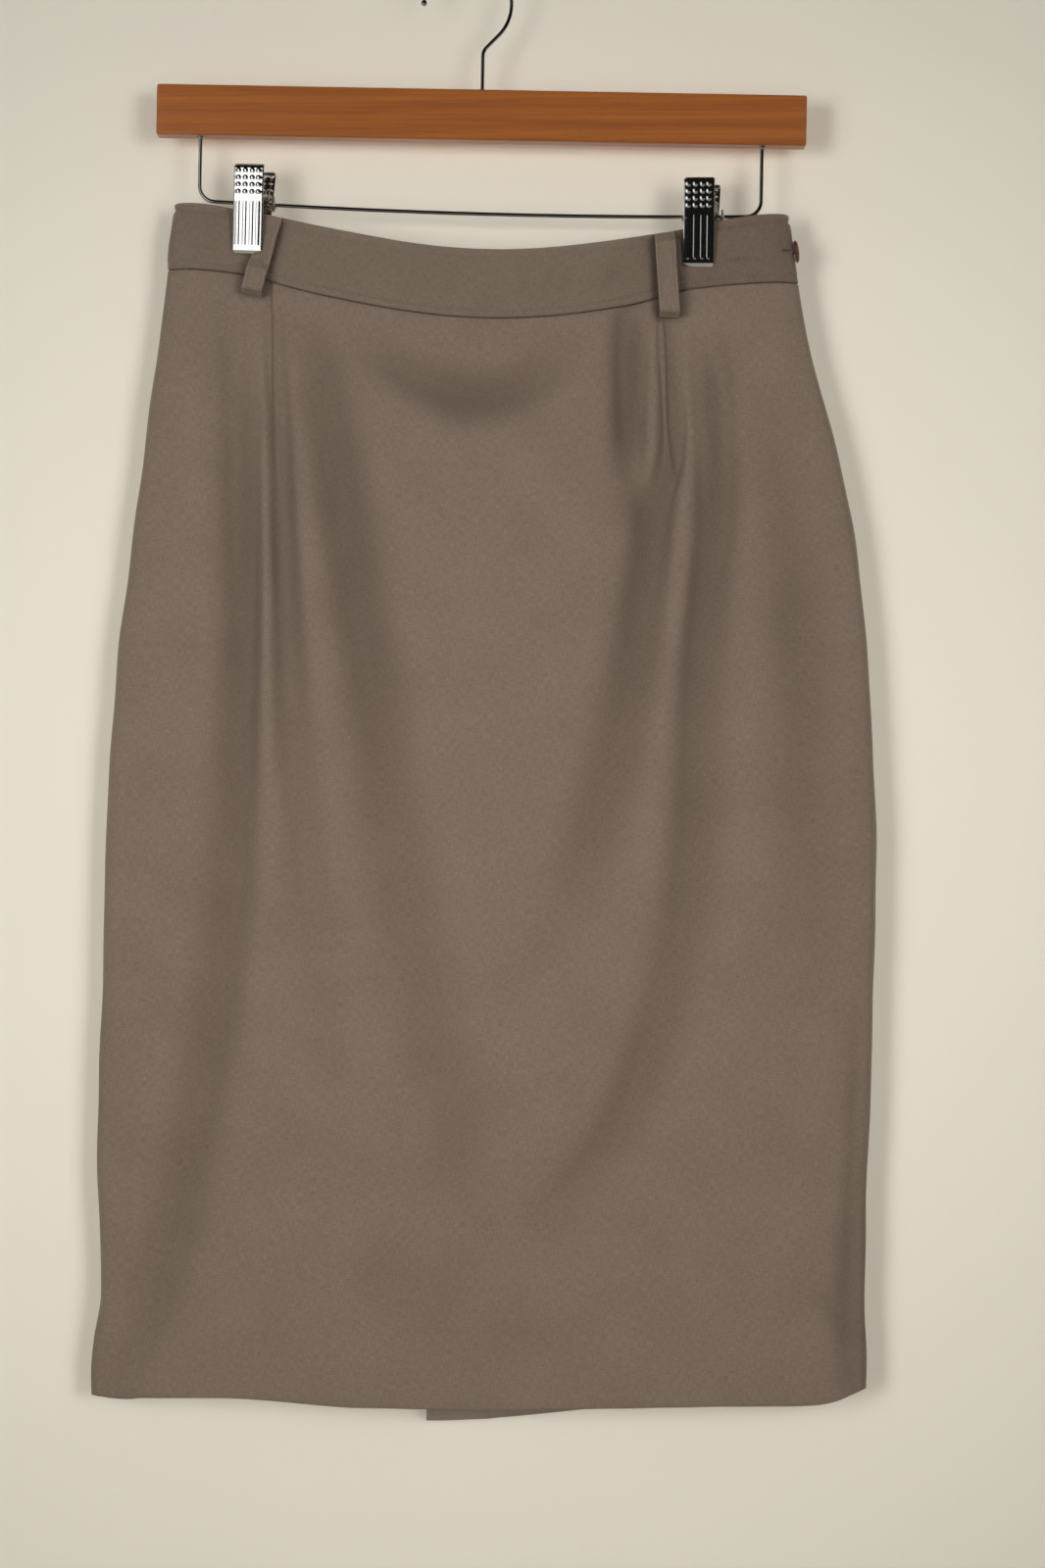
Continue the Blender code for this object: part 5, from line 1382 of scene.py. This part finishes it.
def makeButton():
    look = buttonLook
    sides, radius, thickness, at = look["sides"], look["radius"], look["thickness"], look["holeAt"]
    origin, axes = standOnCloth(look["turn"], look["drop"], skirt["bandCloth"] + skirt["gap"])
    around = circle(sides)
    rings = list(np.linspace(look["faceFrom"], look["rimFrom"], look["rings"]) * radius)
    depths = []
    for ring in rings:
        dish = look["dish"] * (1 - ease(look["dishTo"] * radius, look["rimFrom"] * radius, ring))
        depth = np.full(sides, thickness - dish)
        for holeX in (-at, at):
            for holeZ in (-at, at):
                away = np.hypot(ring * np.cos(around) - holeX, ring * np.sin(around) - holeZ)
                depth -= look["holeDepth"] * (1 - ease(*look["holeEdge"], away))
        depths.append(depth)
    for bend in np.radians(np.linspace(*look["roundAngles"])):
        rings.append(radius - look["round"] * (1 - math.cos(bend)))
        depths.append(np.full(sides, thickness - look["round"] * (1 - math.sin(bend))))
    for share, depth in look["under"]:
        rings.append(share * radius)
        depths.append(np.full(sides, depth))
    local = np.concatenate([np.stack([ring * np.cos(around), -depth, ring * np.sin(around)], -1)
                            for ring, depth in zip(rings, depths)])
    faces = [face[::-1] for face in ringFaces(len(rings), sides)] + endFaces(len(rings), sides)
    points = origin + local @ axes.T
    button = piece(addMesh("hornButton", points, faces, materials["horn"]), "button")
    # Threads across its face from hole to hole, and down its shank
    parts = []
    face = thickness - look["dish"]
    for z in (-at, at):
        for apart in (-look["threadApart"], 0.0, look["threadApart"]):
            local = [(at * share, -(face + rise), z + apart * (look["threadsClose"] if rise < 0 else 1.0))
                     for share, rise in look["crossing"]]
            path = origin + np.array(local) @ axes.T
            parts.append(tubeMesh(path, look["faceThread"], look["threadSides"]))
    for x in (-at, at):
        for z in (-at, at):
            local = [(x * share, -depth, z * share) for share, depth in look["shank"]]
            path = origin + np.array(local) @ axes.T
            parts.append(tubeMesh(path, look["shankThread"], look["threadSides"]))
    return button, trim(addMesh("buttonThreads", *joined(parts), materials["buttonThread"]))


hornButton, buttonThreads = makeButton()
print("stage: zip and button made")

# The hanger, in its own frame: it leans a little to the wearer's left
hanger = {
    "lean": 1.04, "barSize": (355.0, 12.0, 27.6), "barCentre": (8.7, -84.3),
    "barRound": 1.5, "barEndRound": 1.1, "roundSteps": 9, "sideSteps": 8, "barSteps": 72,
    "wobble": (0.10, 0.04), "wobbleLength": 41.0,
    "wire": 1.05, "wireSides": 20, "wireInBar": 14.0,
    "hookRadius": 23.9, "hookSlant": 44.0, "hookEnd": 175.0, "hookSteps": 90,
    "hookBend": 7.0, "hookBendSteps": 14, "hookStem": 4.0, "tipBall": 1.75, "tipSteps": 12, "tipLeast": 0.5,
    "railHalfSpan": 153.8, "railBend": 8.5, "railBendSteps": 18, "railEnds": (-133.4, -136.4), "railSag": 2.6,
    "railSteps": 60, "railLeg": 3.0, "collar": 2.0, "collarHeight": 1.5,
    "collarProfile": ((-0.6, 1.0), (0.0, 1.0), (0.35, 0.97), (0.75, 0.82), (1.0, 0.62)),
}
hangerMatrix = np.array(Euler((0.0, math.radians(hanger["lean"]), 0.0)).to_matrix())
barTop = hanger["barCentre"][1] + hanger["barSize"][2] / 2
barFoot = hanger["barCentre"][1] - hanger["barSize"][2] / 2


def inHanger(points):
    return np.asarray(points, float) @ hangerMatrix.T


def arcPoints(centre, radius, start, end, steps):
    angles = np.radians(np.linspace(start, end, steps + 1))
    x, z = centre[0] + radius * np.cos(angles), centre[1] + radius * np.sin(angles)
    return np.stack([x, np.zeros(steps + 1), z], -1)


def makeBar():
    length, depth, height = hanger["barSize"]
    turn, ends, (centreX, centreZ) = hanger["barRound"], hanger["barEndRound"], hanger["barCentre"]
    corners = []
    for y, z, start in ((1, 1, 0.0), (-1, 1, 90.0), (-1, -1, 180.0), (1, -1, 270.0)):
        angles = math.radians(start) + np.linspace(0, math.pi / 2, hanger["roundSteps"])
        corners.append(np.stack([y * (depth / 2 - turn) + turn * np.cos(angles),
                                 z * (height / 2 - turn) + turn * np.sin(angles)], -1))
    shares = np.linspace(0, 1, hanger["sideSteps"])[1:-1, None]
    outline = []
    for corner, following in zip(corners, corners[1:] + corners[:1]):
        outline += [corner, corner[-1] + (following[0] - corner[-1]) * shares]
    outline = np.concatenate(outline)
    bends = np.linspace(math.pi / 2, 0, hanger["roundSteps"])
    rounded = [(-length / 2 + ends - ends * math.sin(a), ends - ends * math.cos(a)) for a in bends]
    straight = np.linspace(-length / 2 + ends, length / 2 - ends, hanger["barSteps"])[1:-1]
    stations = rounded + [(x, 0.0) for x in straight] + [(-x, inset) for x, inset in rounded[::-1]]
    points = []
    for x, inset in stations:
        wobble = math.sin(x / hanger["wobbleLength"]) * np.array(hanger["wobble"])
        y, z = (outline * ((depth - 2 * inset) / depth, (height - 2 * inset) / height) + wobble).T
        points.append(np.stack([np.full(len(y), centreX + x), y, centreZ + z], -1))
    faces = ringFaces(len(stations), len(outline), turned=True) + endFaces(len(stations), len(outline))
    made = addMesh("woodBar", inHanger(np.concatenate(points)), faces, materials["wood"])
    return piece(made, "hanger_bar")


def wirePiece(name, node, path, radii):
    points, faces = tubeMesh(path, radii, hanger["wireSides"])
    return piece(addMesh(name, inHanger(points), faces, materials["wire"]), node)


def makeHook():
    radius, slant = hanger["hookRadius"], math.radians(hanger["hookSlant"])
    stem, bendRadius = hanger["barCentre"][0], hanger["hookBend"]
    centre = (0.0, hanger["wire"] - radius)
    over = arcPoints(centre, radius, -hanger["hookSlant"], hanger["hookEnd"], hanger["hookSteps"])
    cornerZ = over[0][2] - (over[0][0] - stem) / math.tan(slant)
    bend = arcPoints((stem + bendRadius, cornerZ - bendRadius * math.tan(slant / 2)), bendRadius, 180.0,
                     180.0 - hanger["hookSlant"], hanger["hookBendSteps"])
    upright = [(stem, 0.0, barTop + rise) for rise in (-hanger["wireInBar"], 0.0, hanger["hookStem"])]
    path = np.concatenate([upright, bend, over])
    # A small ball at its tip
    ball = np.linspace(0, math.pi, hanger["tipSteps"])[1:-1]
    tip = path[-1] + unit(path[-1] - path[-2]) * (hanger["tipBall"] * (1 - np.cos(ball)))[:, None]
    radii = np.concatenate([np.full(len(path), hanger["wire"]),
                            np.maximum(hanger["tipBall"] * np.sin(ball), hanger["tipLeast"])])
    return wirePiece("hookWire", "hanger_hook", np.concatenate([path, tip]), radii)


def railPoint(share):
    half = hanger["railHalfSpan"] - hanger["railBend"]
    first, last = hanger["railEnds"]
    share = np.asarray(share, float)
    return np.stack([hanger["barCentre"][0] + half * (2 * share - 1), share * 0,
                     first + (last - first) * share - hanger["railSag"] * 4 * share * (1 - share)], -1)


def railHeight(x):
    half = hanger["railHalfSpan"] - hanger["railBend"]
    return float(railPoint((x - hanger["barCentre"][0] + half) / (2 * half))[2])


def makeRail():
    bend, (leftZ, rightZ) = hanger["railBend"], hanger["railEnds"]
    left, right = [hanger["barCentre"][0] + side * hanger["railHalfSpan"] for side in (-1, 1)]
    legs = [np.array([(x, 0.0, barFoot + rise) for rise in (hanger["wireInBar"], 0.0, -hanger["railLeg"])])
            for x in (left, right)]
    path = np.concatenate([
        legs[0], arcPoints((left + bend, leftZ + bend), bend, 180.0, 270.0, hanger["railBendSteps"]),
        railPoint(np.linspace(0, 1, hanger["railSteps"])[1:-1]),
        arcPoints((right - bend, rightZ + bend), bend, 270.0, 360.0, hanger["railBendSteps"]), legs[1][::-1]])
    return wirePiece("railWire", "hanger_rail", path, hanger["wire"])


# Small turned collars where the wires go into the wood
def makeCollars():
    parts = []
    middle, span = hanger["barCentre"][0], hanger["railHalfSpan"]
    shares, widths = zip(*hanger["collarProfile"])
    for x, z, side in ((middle, barTop, 1), (middle - span, barFoot, -1), (middle + span, barFoot, -1)):
        path = [(x, 0.0, z + side * share * hanger["collarHeight"]) for share in shares]
        parts.append(tubeMesh(path, np.array(widths) * hanger["collar"], hanger["wireSides"]))
    points, faces = joined(parts)
    return trim(addMesh("wireCollars", inHanger(points), faces, materials["wire"]))


woodBar, hookWire, railWire, wireCollars = makeBar(), makeHook(), makeRail(), makeCollars()

# The clips: x along the rail, lean in degrees, and how far the front jaw stands off
clips = {
    "right": {"x": -115.6, "lean": 2.8, "jaw": 4.9}, "left": {"x": 129.9, "lean": 1.05, "jaw": 3.5},
    "backJaw": 3.5, "turn": -12.0, "width": 17.0, "thickness": 0.9, "top": 20.0, "foot": 28.3, "spread": 11.2,
    "columnStep": 0.36, "rowStep": 0.46, "corner": 1.4, "edgeRoll": 0.06, "rollReach": 1.0,
    "domeX": (-5.8, -1.9, 2.0, 5.5), "domeZ": (44.8, 41.0, 37.2, 33.4),
    "domeRadius": 1.25, "domeHeight": 0.42, "ribWidth": 2.35, "ribSoft": 0.65,
    "ribFoot": 4.0, "ribTop": 29.1, "ribEnds": 1.2, "ribHeight": 0.16,
    "footIn": 0.9, "footReach": 2.2, "curl": 1.5, "curlReach": 2.6,
}
# The spring round the rail with its two legs, and the ears that the rail runs through, with their straps
spring = {
    "turns": 9, "turnSteps": 20, "radius": 2.35, "wire": 0.5, "sides": 8, "middle": 2.0, "halfLength": 6.3,
    "legOut": 5.6, "legUp": 6.0, "legShares": (0.15, 1.0, 6),
}
# A strap's rows: its share of the ear's own x, then x towards that side, y and z
ears = {
    "x": (-9.4, 11.4), "radius": 4.3, "thickness": 0.9, "sides": 40,
    "profile": ((-0.5, 0.25), (-0.5, 0.93), (-0.3, 1.0), (0.3, 1.0), (0.5, 0.93), (0.5, 0.25)),
    "strap": ((1.0, 0.0, 2.0, 0.0), (1.0, 0.0, 4.6, -1.0), (0.5, 4.3, 6.2, -1.5), (0.0, 8.0, 7.0, -1.8)),
    "strapRadii": (1.1, 1.1, 0.9, 0.7), "strapSides": 10,
}
plateTall = clips["top"] + clips["foot"]


# The relief pressed into a plate: rows of domes above, ribs below, and the feet of the jaws turned in
def plateRelief(x, z):
    relief = np.zeros(x.shape)
    halfRib, ends = clips["ribWidth"] / 2, clips["ribEnds"]
    ribTall = ease(clips["ribFoot"], clips["ribFoot"] + ends, z)
    ribTall = ribTall * (1 - ease(clips["ribTop"] - ends, clips["ribTop"], z))
    for domeX in clips["domeX"]:
        for domeZ in clips["domeZ"]:
            away = np.hypot(x - domeX, z - domeZ) / clips["domeRadius"]
            relief += clips["domeHeight"] * np.sqrt(np.clip(1 - away ** 2, 0, 1))
        ribSide = 1 - ease(halfRib - clips["ribSoft"], halfRib, np.abs(x - domeX))
        relief += clips["ribHeight"] * ribSide * ribTall
    relief -= clips["footIn"] * (1 - ease(0.0, clips["footReach"], z))
    return relief - clips["curl"] * ease(plateTall - clips["curlReach"], plateTall, z) ** 2


# A plate on its clip's pivot, which is a turn and a place
def makePlate(name, node, jaw, pivot, isFront):
    halfAcross, corner = clips["width"] / 2, clips["corner"]
    xs = edged(-halfAcross, halfAcross, clips["columnStep"])
    zs = edged(0.0, plateTall, clips["rowStep"])
    x, z = np.meshgrid(xs, zs[::-1])
    # Points in a corner's square are drawn in to its round
    cornerX = np.maximum(np.abs(x) - (halfAcross - corner), 0.0)
    cornerZ = np.maximum(np.abs(z - plateTall / 2) - (plateTall / 2 - corner), 0.0)
    square, straight = np.maximum(cornerX, cornerZ), np.hypot(cornerX, cornerZ)
    shrink = np.where(square > 0, square / np.where(straight > 0, straight, 1.0), 1.0)
    roundX = np.sign(x) * (np.abs(x) - cornerX * (1 - shrink))
    roundZ = z - np.sign(z - plateTall / 2) * cornerZ * (1 - shrink)
    half = halfWall(np.minimum(halfAcross - np.abs(x), np.minimum(z, plateTall - z)), clips["thickness"])
    rolled = clips["edgeRoll"] * (1 - ease(0.0, clips["rollReach"], halfAcross - np.abs(x)))
    middle = clips["thickness"] / 2 - plateRelief(x, z) + rolled
    tilt = math.atan((clips["spread"] - jaw) / plateTall)
    turn = np.array(Euler((tilt, 0.0, 0.0 if isFront else math.pi)).to_matrix())
    shift = np.array((0.0, (-1 if isFront else 1) * (jaw + clips["thickness"]), -clips["foot"]))
    walls = []
    for way in (-1, 1):
        wall = np.stack([roundX, middle + way * half, roundZ], -1) @ turn.T + shift
        walls.append(inHanger(wall @ pivot[0].T + pivot[1]))
    return piece(shell(name, *walls, materials["plate"], np.stack([x, z], -1)), node)


def makeSpring(name, node, pivot):
    angles = np.linspace(0, 2 * math.pi * spring["turns"], spring["turns"] * spring["turnSteps"] + 1)
    reach = spring["middle"] + np.linspace(-spring["halfLength"], spring["halfLength"], len(angles))
    coil = np.stack([reach, spring["radius"] * np.sin(angles), spring["radius"] * np.cos(angles)], -1)
    shares = np.linspace(*spring["legShares"])[:, None]
    legs = [end + shares * (0.0, side * spring["legOut"], spring["legUp"])
            for end, side in ((coil[0], -1), (coil[-1], 1))]
    parts = [tubeMesh(np.concatenate([legs[0][::-1], coil, legs[1]]), spring["wire"], spring["sides"])]
    around = circle(ears["sides"])
    ring = ears["radius"] * np.stack([around * 0, np.cos(around), np.sin(around)], -1)
    faces = ringFaces(len(ears["profile"]), ears["sides"], closed=True, turned=True)
    for earX in ears["x"]:
        rings = [radius * ring + (earX + share * ears["thickness"], 0.0, 0.0)
                 for share, radius in ears["profile"]]
        parts.append((np.concatenate(rings), faces))
        for side in (-1, 1):
            strap = [(share * earX + np.sign(earX) * x, side * y, z) for share, x, y, z in ears["strap"]]
            parts.append(tubeMesh(strap, ears["strapRadii"], ears["strapSides"]))
    points, faces = joined(parts)
    return piece(addMesh(name, inHanger(points + pivot), faces, materials["wire"]), node)


for side in ("right", "left"):
    look, node = clips[side], "clip_" + side
    at = np.array((look["x"], 0.0, railHeight(look["x"])))
    pivot = (np.array(Euler((0.0, math.radians(look["lean"]), math.radians(clips["turn"]))).to_matrix()), at)
    makePlate(side + "ClipFront", node + "_front", look["jaw"], pivot, True)
    makePlate(side + "ClipBack", node + "_back", clips["backJaw"], pivot, False)
    makeSpring(side + "ClipSpring", node + "_barrel", at)
print("stage: hanger and clips made")

# The wall and the floor behind and below, and the light of the room
stage = {
    "wallY": 21.0, "wallHalf": 3000.0, "wallTop": 1800.0, "wallColour": (0.800, 0.762, 0.668),
    "patchScale": 2.2, "patches": ((0.35, 0.985), (0.65, 1.01)),
    "plasterScale": 160.0, "plasterRelief": 0.0002, "plasterBump": 0.15,
    "floorZ": -1450.0, "floorHalf": 4000.0, "floorColour": (0.78, 0.75, 0.68), "speckleScale": 30.0,
    "speckles": ((0.3, 0.97), (0.7, 1.0)), "floorGlow": 0.34,
    "ambient": 0.255, "sky": (0.86, 0.85, 0.82), "glossySky": 0.045,
}


def toned(colour, factor):
    return [v * factor for v in colour]


def makeWall():
    plaster, tree, shader = newMaterial("plaster", Roughness=0.9, Specular_IOR_Level=0.1)
    place = objectPlace(tree)
    patches = noise(tree, place, stage["patchScale"], 3.0)
    grit = noise(tree, place, stage["plasterScale"], 3.0)
    painted = ramp(tree, patches, *[(at, toned(stage["wallColour"], tone)) for at, tone in stage["patches"]])
    normal = bumped(tree, grit, stage["plasterRelief"], stage["plasterBump"])
    link(tree, shader, Base_Color=painted, Normal=normal)
    # Clear from behind and to the light that falls on it from there
    backfacing = put(tree, "ShaderNodeNewGeometry").outputs["Backfacing"]
    seen = calc(tree, "MAXIMUM", backfacing, put(tree, "ShaderNodeLightPath").outputs["Is Shadow Ray"])
    clear = put(tree, "ShaderNodeBsdfTransparent")
    mixed = put(tree, "ShaderNodeMixShader", {0: seen, 1: shader.outputs[0], 2: clear.outputs[0]})
    tree.links.new(mixed.outputs[0], tree.nodes["Material Output"].inputs["Surface"])
    half, y, foot, top = stage["wallHalf"], stage["wallY"], stage["floorZ"], stage["wallTop"]
    corners = [(-half, y, foot), (half, y, foot), (half, y, top), (-half, y, top)]
    return addMesh("wall", corners, [[0, 1, 2, 3]], plaster)


def makeFloor():
    ground, tree, shader = newMaterial("paleFloor", Roughness=0.7, Specular_IOR_Level=0.2)
    colour = stage["floorColour"]
    speckle = noise(tree, objectPlace(tree), stage["speckleScale"], 4.0)
    spotted = ramp(tree, speckle, *[(at, toned(colour, tone)) for at, tone in stage["speckles"]])
    link(tree, shader, Base_Color=spotted)
    shader.inputs["Emission Color"].default_value = (*colour, 1.0)
    glow = times(tree, put(tree, "ShaderNodeLightPath").outputs["Is Camera Ray"], stage["floorGlow"])
    tree.links.new(glow, shader.inputs["Emission Strength"])
    half, z = stage["floorHalf"], stage["floorZ"]
    corners = [(-half, -half, z), (half, -half, z), (half, half, z), (-half, half, z)]
    return addMesh("floor", corners, [[0, 1, 2, 3]], ground)


# The sky lights the cloth a little, and metal mirrors it as nearly dark
def makeWorld():
    world = bpy.data.worlds.new("studio")
    world.use_nodes = True
    bpy.context.scene.world = world
    tree = world.node_tree
    path = put(tree, "ShaderNodeLightPath").outputs
    strength = calc(tree, "MULTIPLY_ADD", path["Is Camera Ray"], 1.0 - stage["ambient"], stage["ambient"])
    dim = calc(tree, "SUBTRACT", 1.0, times(tree, path["Is Glossy Ray"], 1.0 - stage["glossySky"]))
    background = tree.nodes["Background"]
    background.inputs["Color"].default_value = (*stage["sky"], 1.0)
    tree.links.new(times(tree, strength, dim), background.inputs["Strength"])


# Soft boxes: place, aim, width and height in metres, power in watts, spread in degrees, whether metal mirrors
# them, and whether they light the cloth
warm = (1.0, 0.985, 0.96)
lights = {
    "key": {
        "place": (-0.96, -1.55, -0.38), "aim": (0.0, 0.0, -0.46), "size": (0.62, 0.95), "power": 1.53,
        "colour": warm, "spread": 53.0, "mirrored": False, "shines": True},
    "fill": {
        "place": (0.86, -1.60, -0.34), "aim": (0.05, 0.0, -0.46), "size": (0.66, 1.0), "power": 1.70,
        "colour": (1.0, 0.98, 0.955), "spread": 53.0, "mirrored": False, "shines": True},
    "card": {
        "place": (-0.97, -1.54, -0.40), "aim": (0.0, 0.0, -0.46), "size": (0.62, 0.95), "power": 3.4,
        "colour": warm, "spread": 180.0, "mirrored": False, "shines": True},
    "backRight": {
        "place": (0.55, 2.1, 0.10), "aim": (0.0, 0.0, -0.42), "size": (1.0, 1.4), "power": 26.0,
        "colour": warm, "spread": 180.0, "mirrored": True, "shines": True},
    "reflector": {
        "place": (-0.262, -0.262, -0.18), "aim": (-0.116, 0.0, -0.16), "size": (0.1, 0.32), "power": 0.185,
        "colour": warm, "spread": 180.0, "mirrored": True, "shines": False},
    "dimReflector": {
        "place": (-1.38, -1.30, -0.30), "aim": (0.0, 0.0, -0.40), "size": (0.62, 1.8), "power": 2.4,
        "colour": warm, "spread": 180.0, "mirrored": True, "shines": False},
    "backLeft": {
        "place": (-0.65, 2.1, -0.30), "aim": (0.0, 0.0, -0.42), "size": (1.0, 1.4), "power": 14.0,
        "colour": warm, "spread": 180.0, "mirrored": True, "shines": True},
}


def makeLight(name, look):
    data = bpy.data.lights.new(name, "AREA")
    data.shape = "RECTANGLE"
    data.size, data.size_y = look["size"]
    data.energy = look["power"]
    data.color = look["colour"]
    data.spread = math.radians(look["spread"])
    lamp = bpy.data.objects.new(name, data)
    lamp.location = look["place"]
    lamp.rotation_euler = (Vector(look["aim"]) - Vector(look["place"])).to_track_quat("-Z", "Y").to_euler()
    lamp.visible_camera = False
    lamp.visible_glossy = look["mirrored"]
    lamp.visible_diffuse = look["shines"]
    bpy.context.scene.collection.objects.link(lamp)


cameraSet = {"place": (0.0295, -1.6, -0.450), "turn": (90.0, 0.0, 0.0), "lens": 67.04, "sensor": 36.0}


def makeCamera():
    data = bpy.data.cameras.new("camera")
    data.lens = cameraSet["lens"]
    data.sensor_width = cameraSet["sensor"]
    data.sensor_fit = "AUTO"
    camera = bpy.data.objects.new("camera", data)
    camera.location = cameraSet["place"]
    camera.rotation_euler = [math.radians(angle) for angle in cameraSet["turn"]]
    bpy.context.scene.collection.objects.link(camera)
    bpy.context.scene.camera = camera


makeWall()
makeFloor()
makeWorld()
for name, look in lights.items():
    makeLight(name, look)
makeCamera()
bpy.context.scene.view_settings.view_transform = "Standard"
print("stage: wall, lights and camera made")
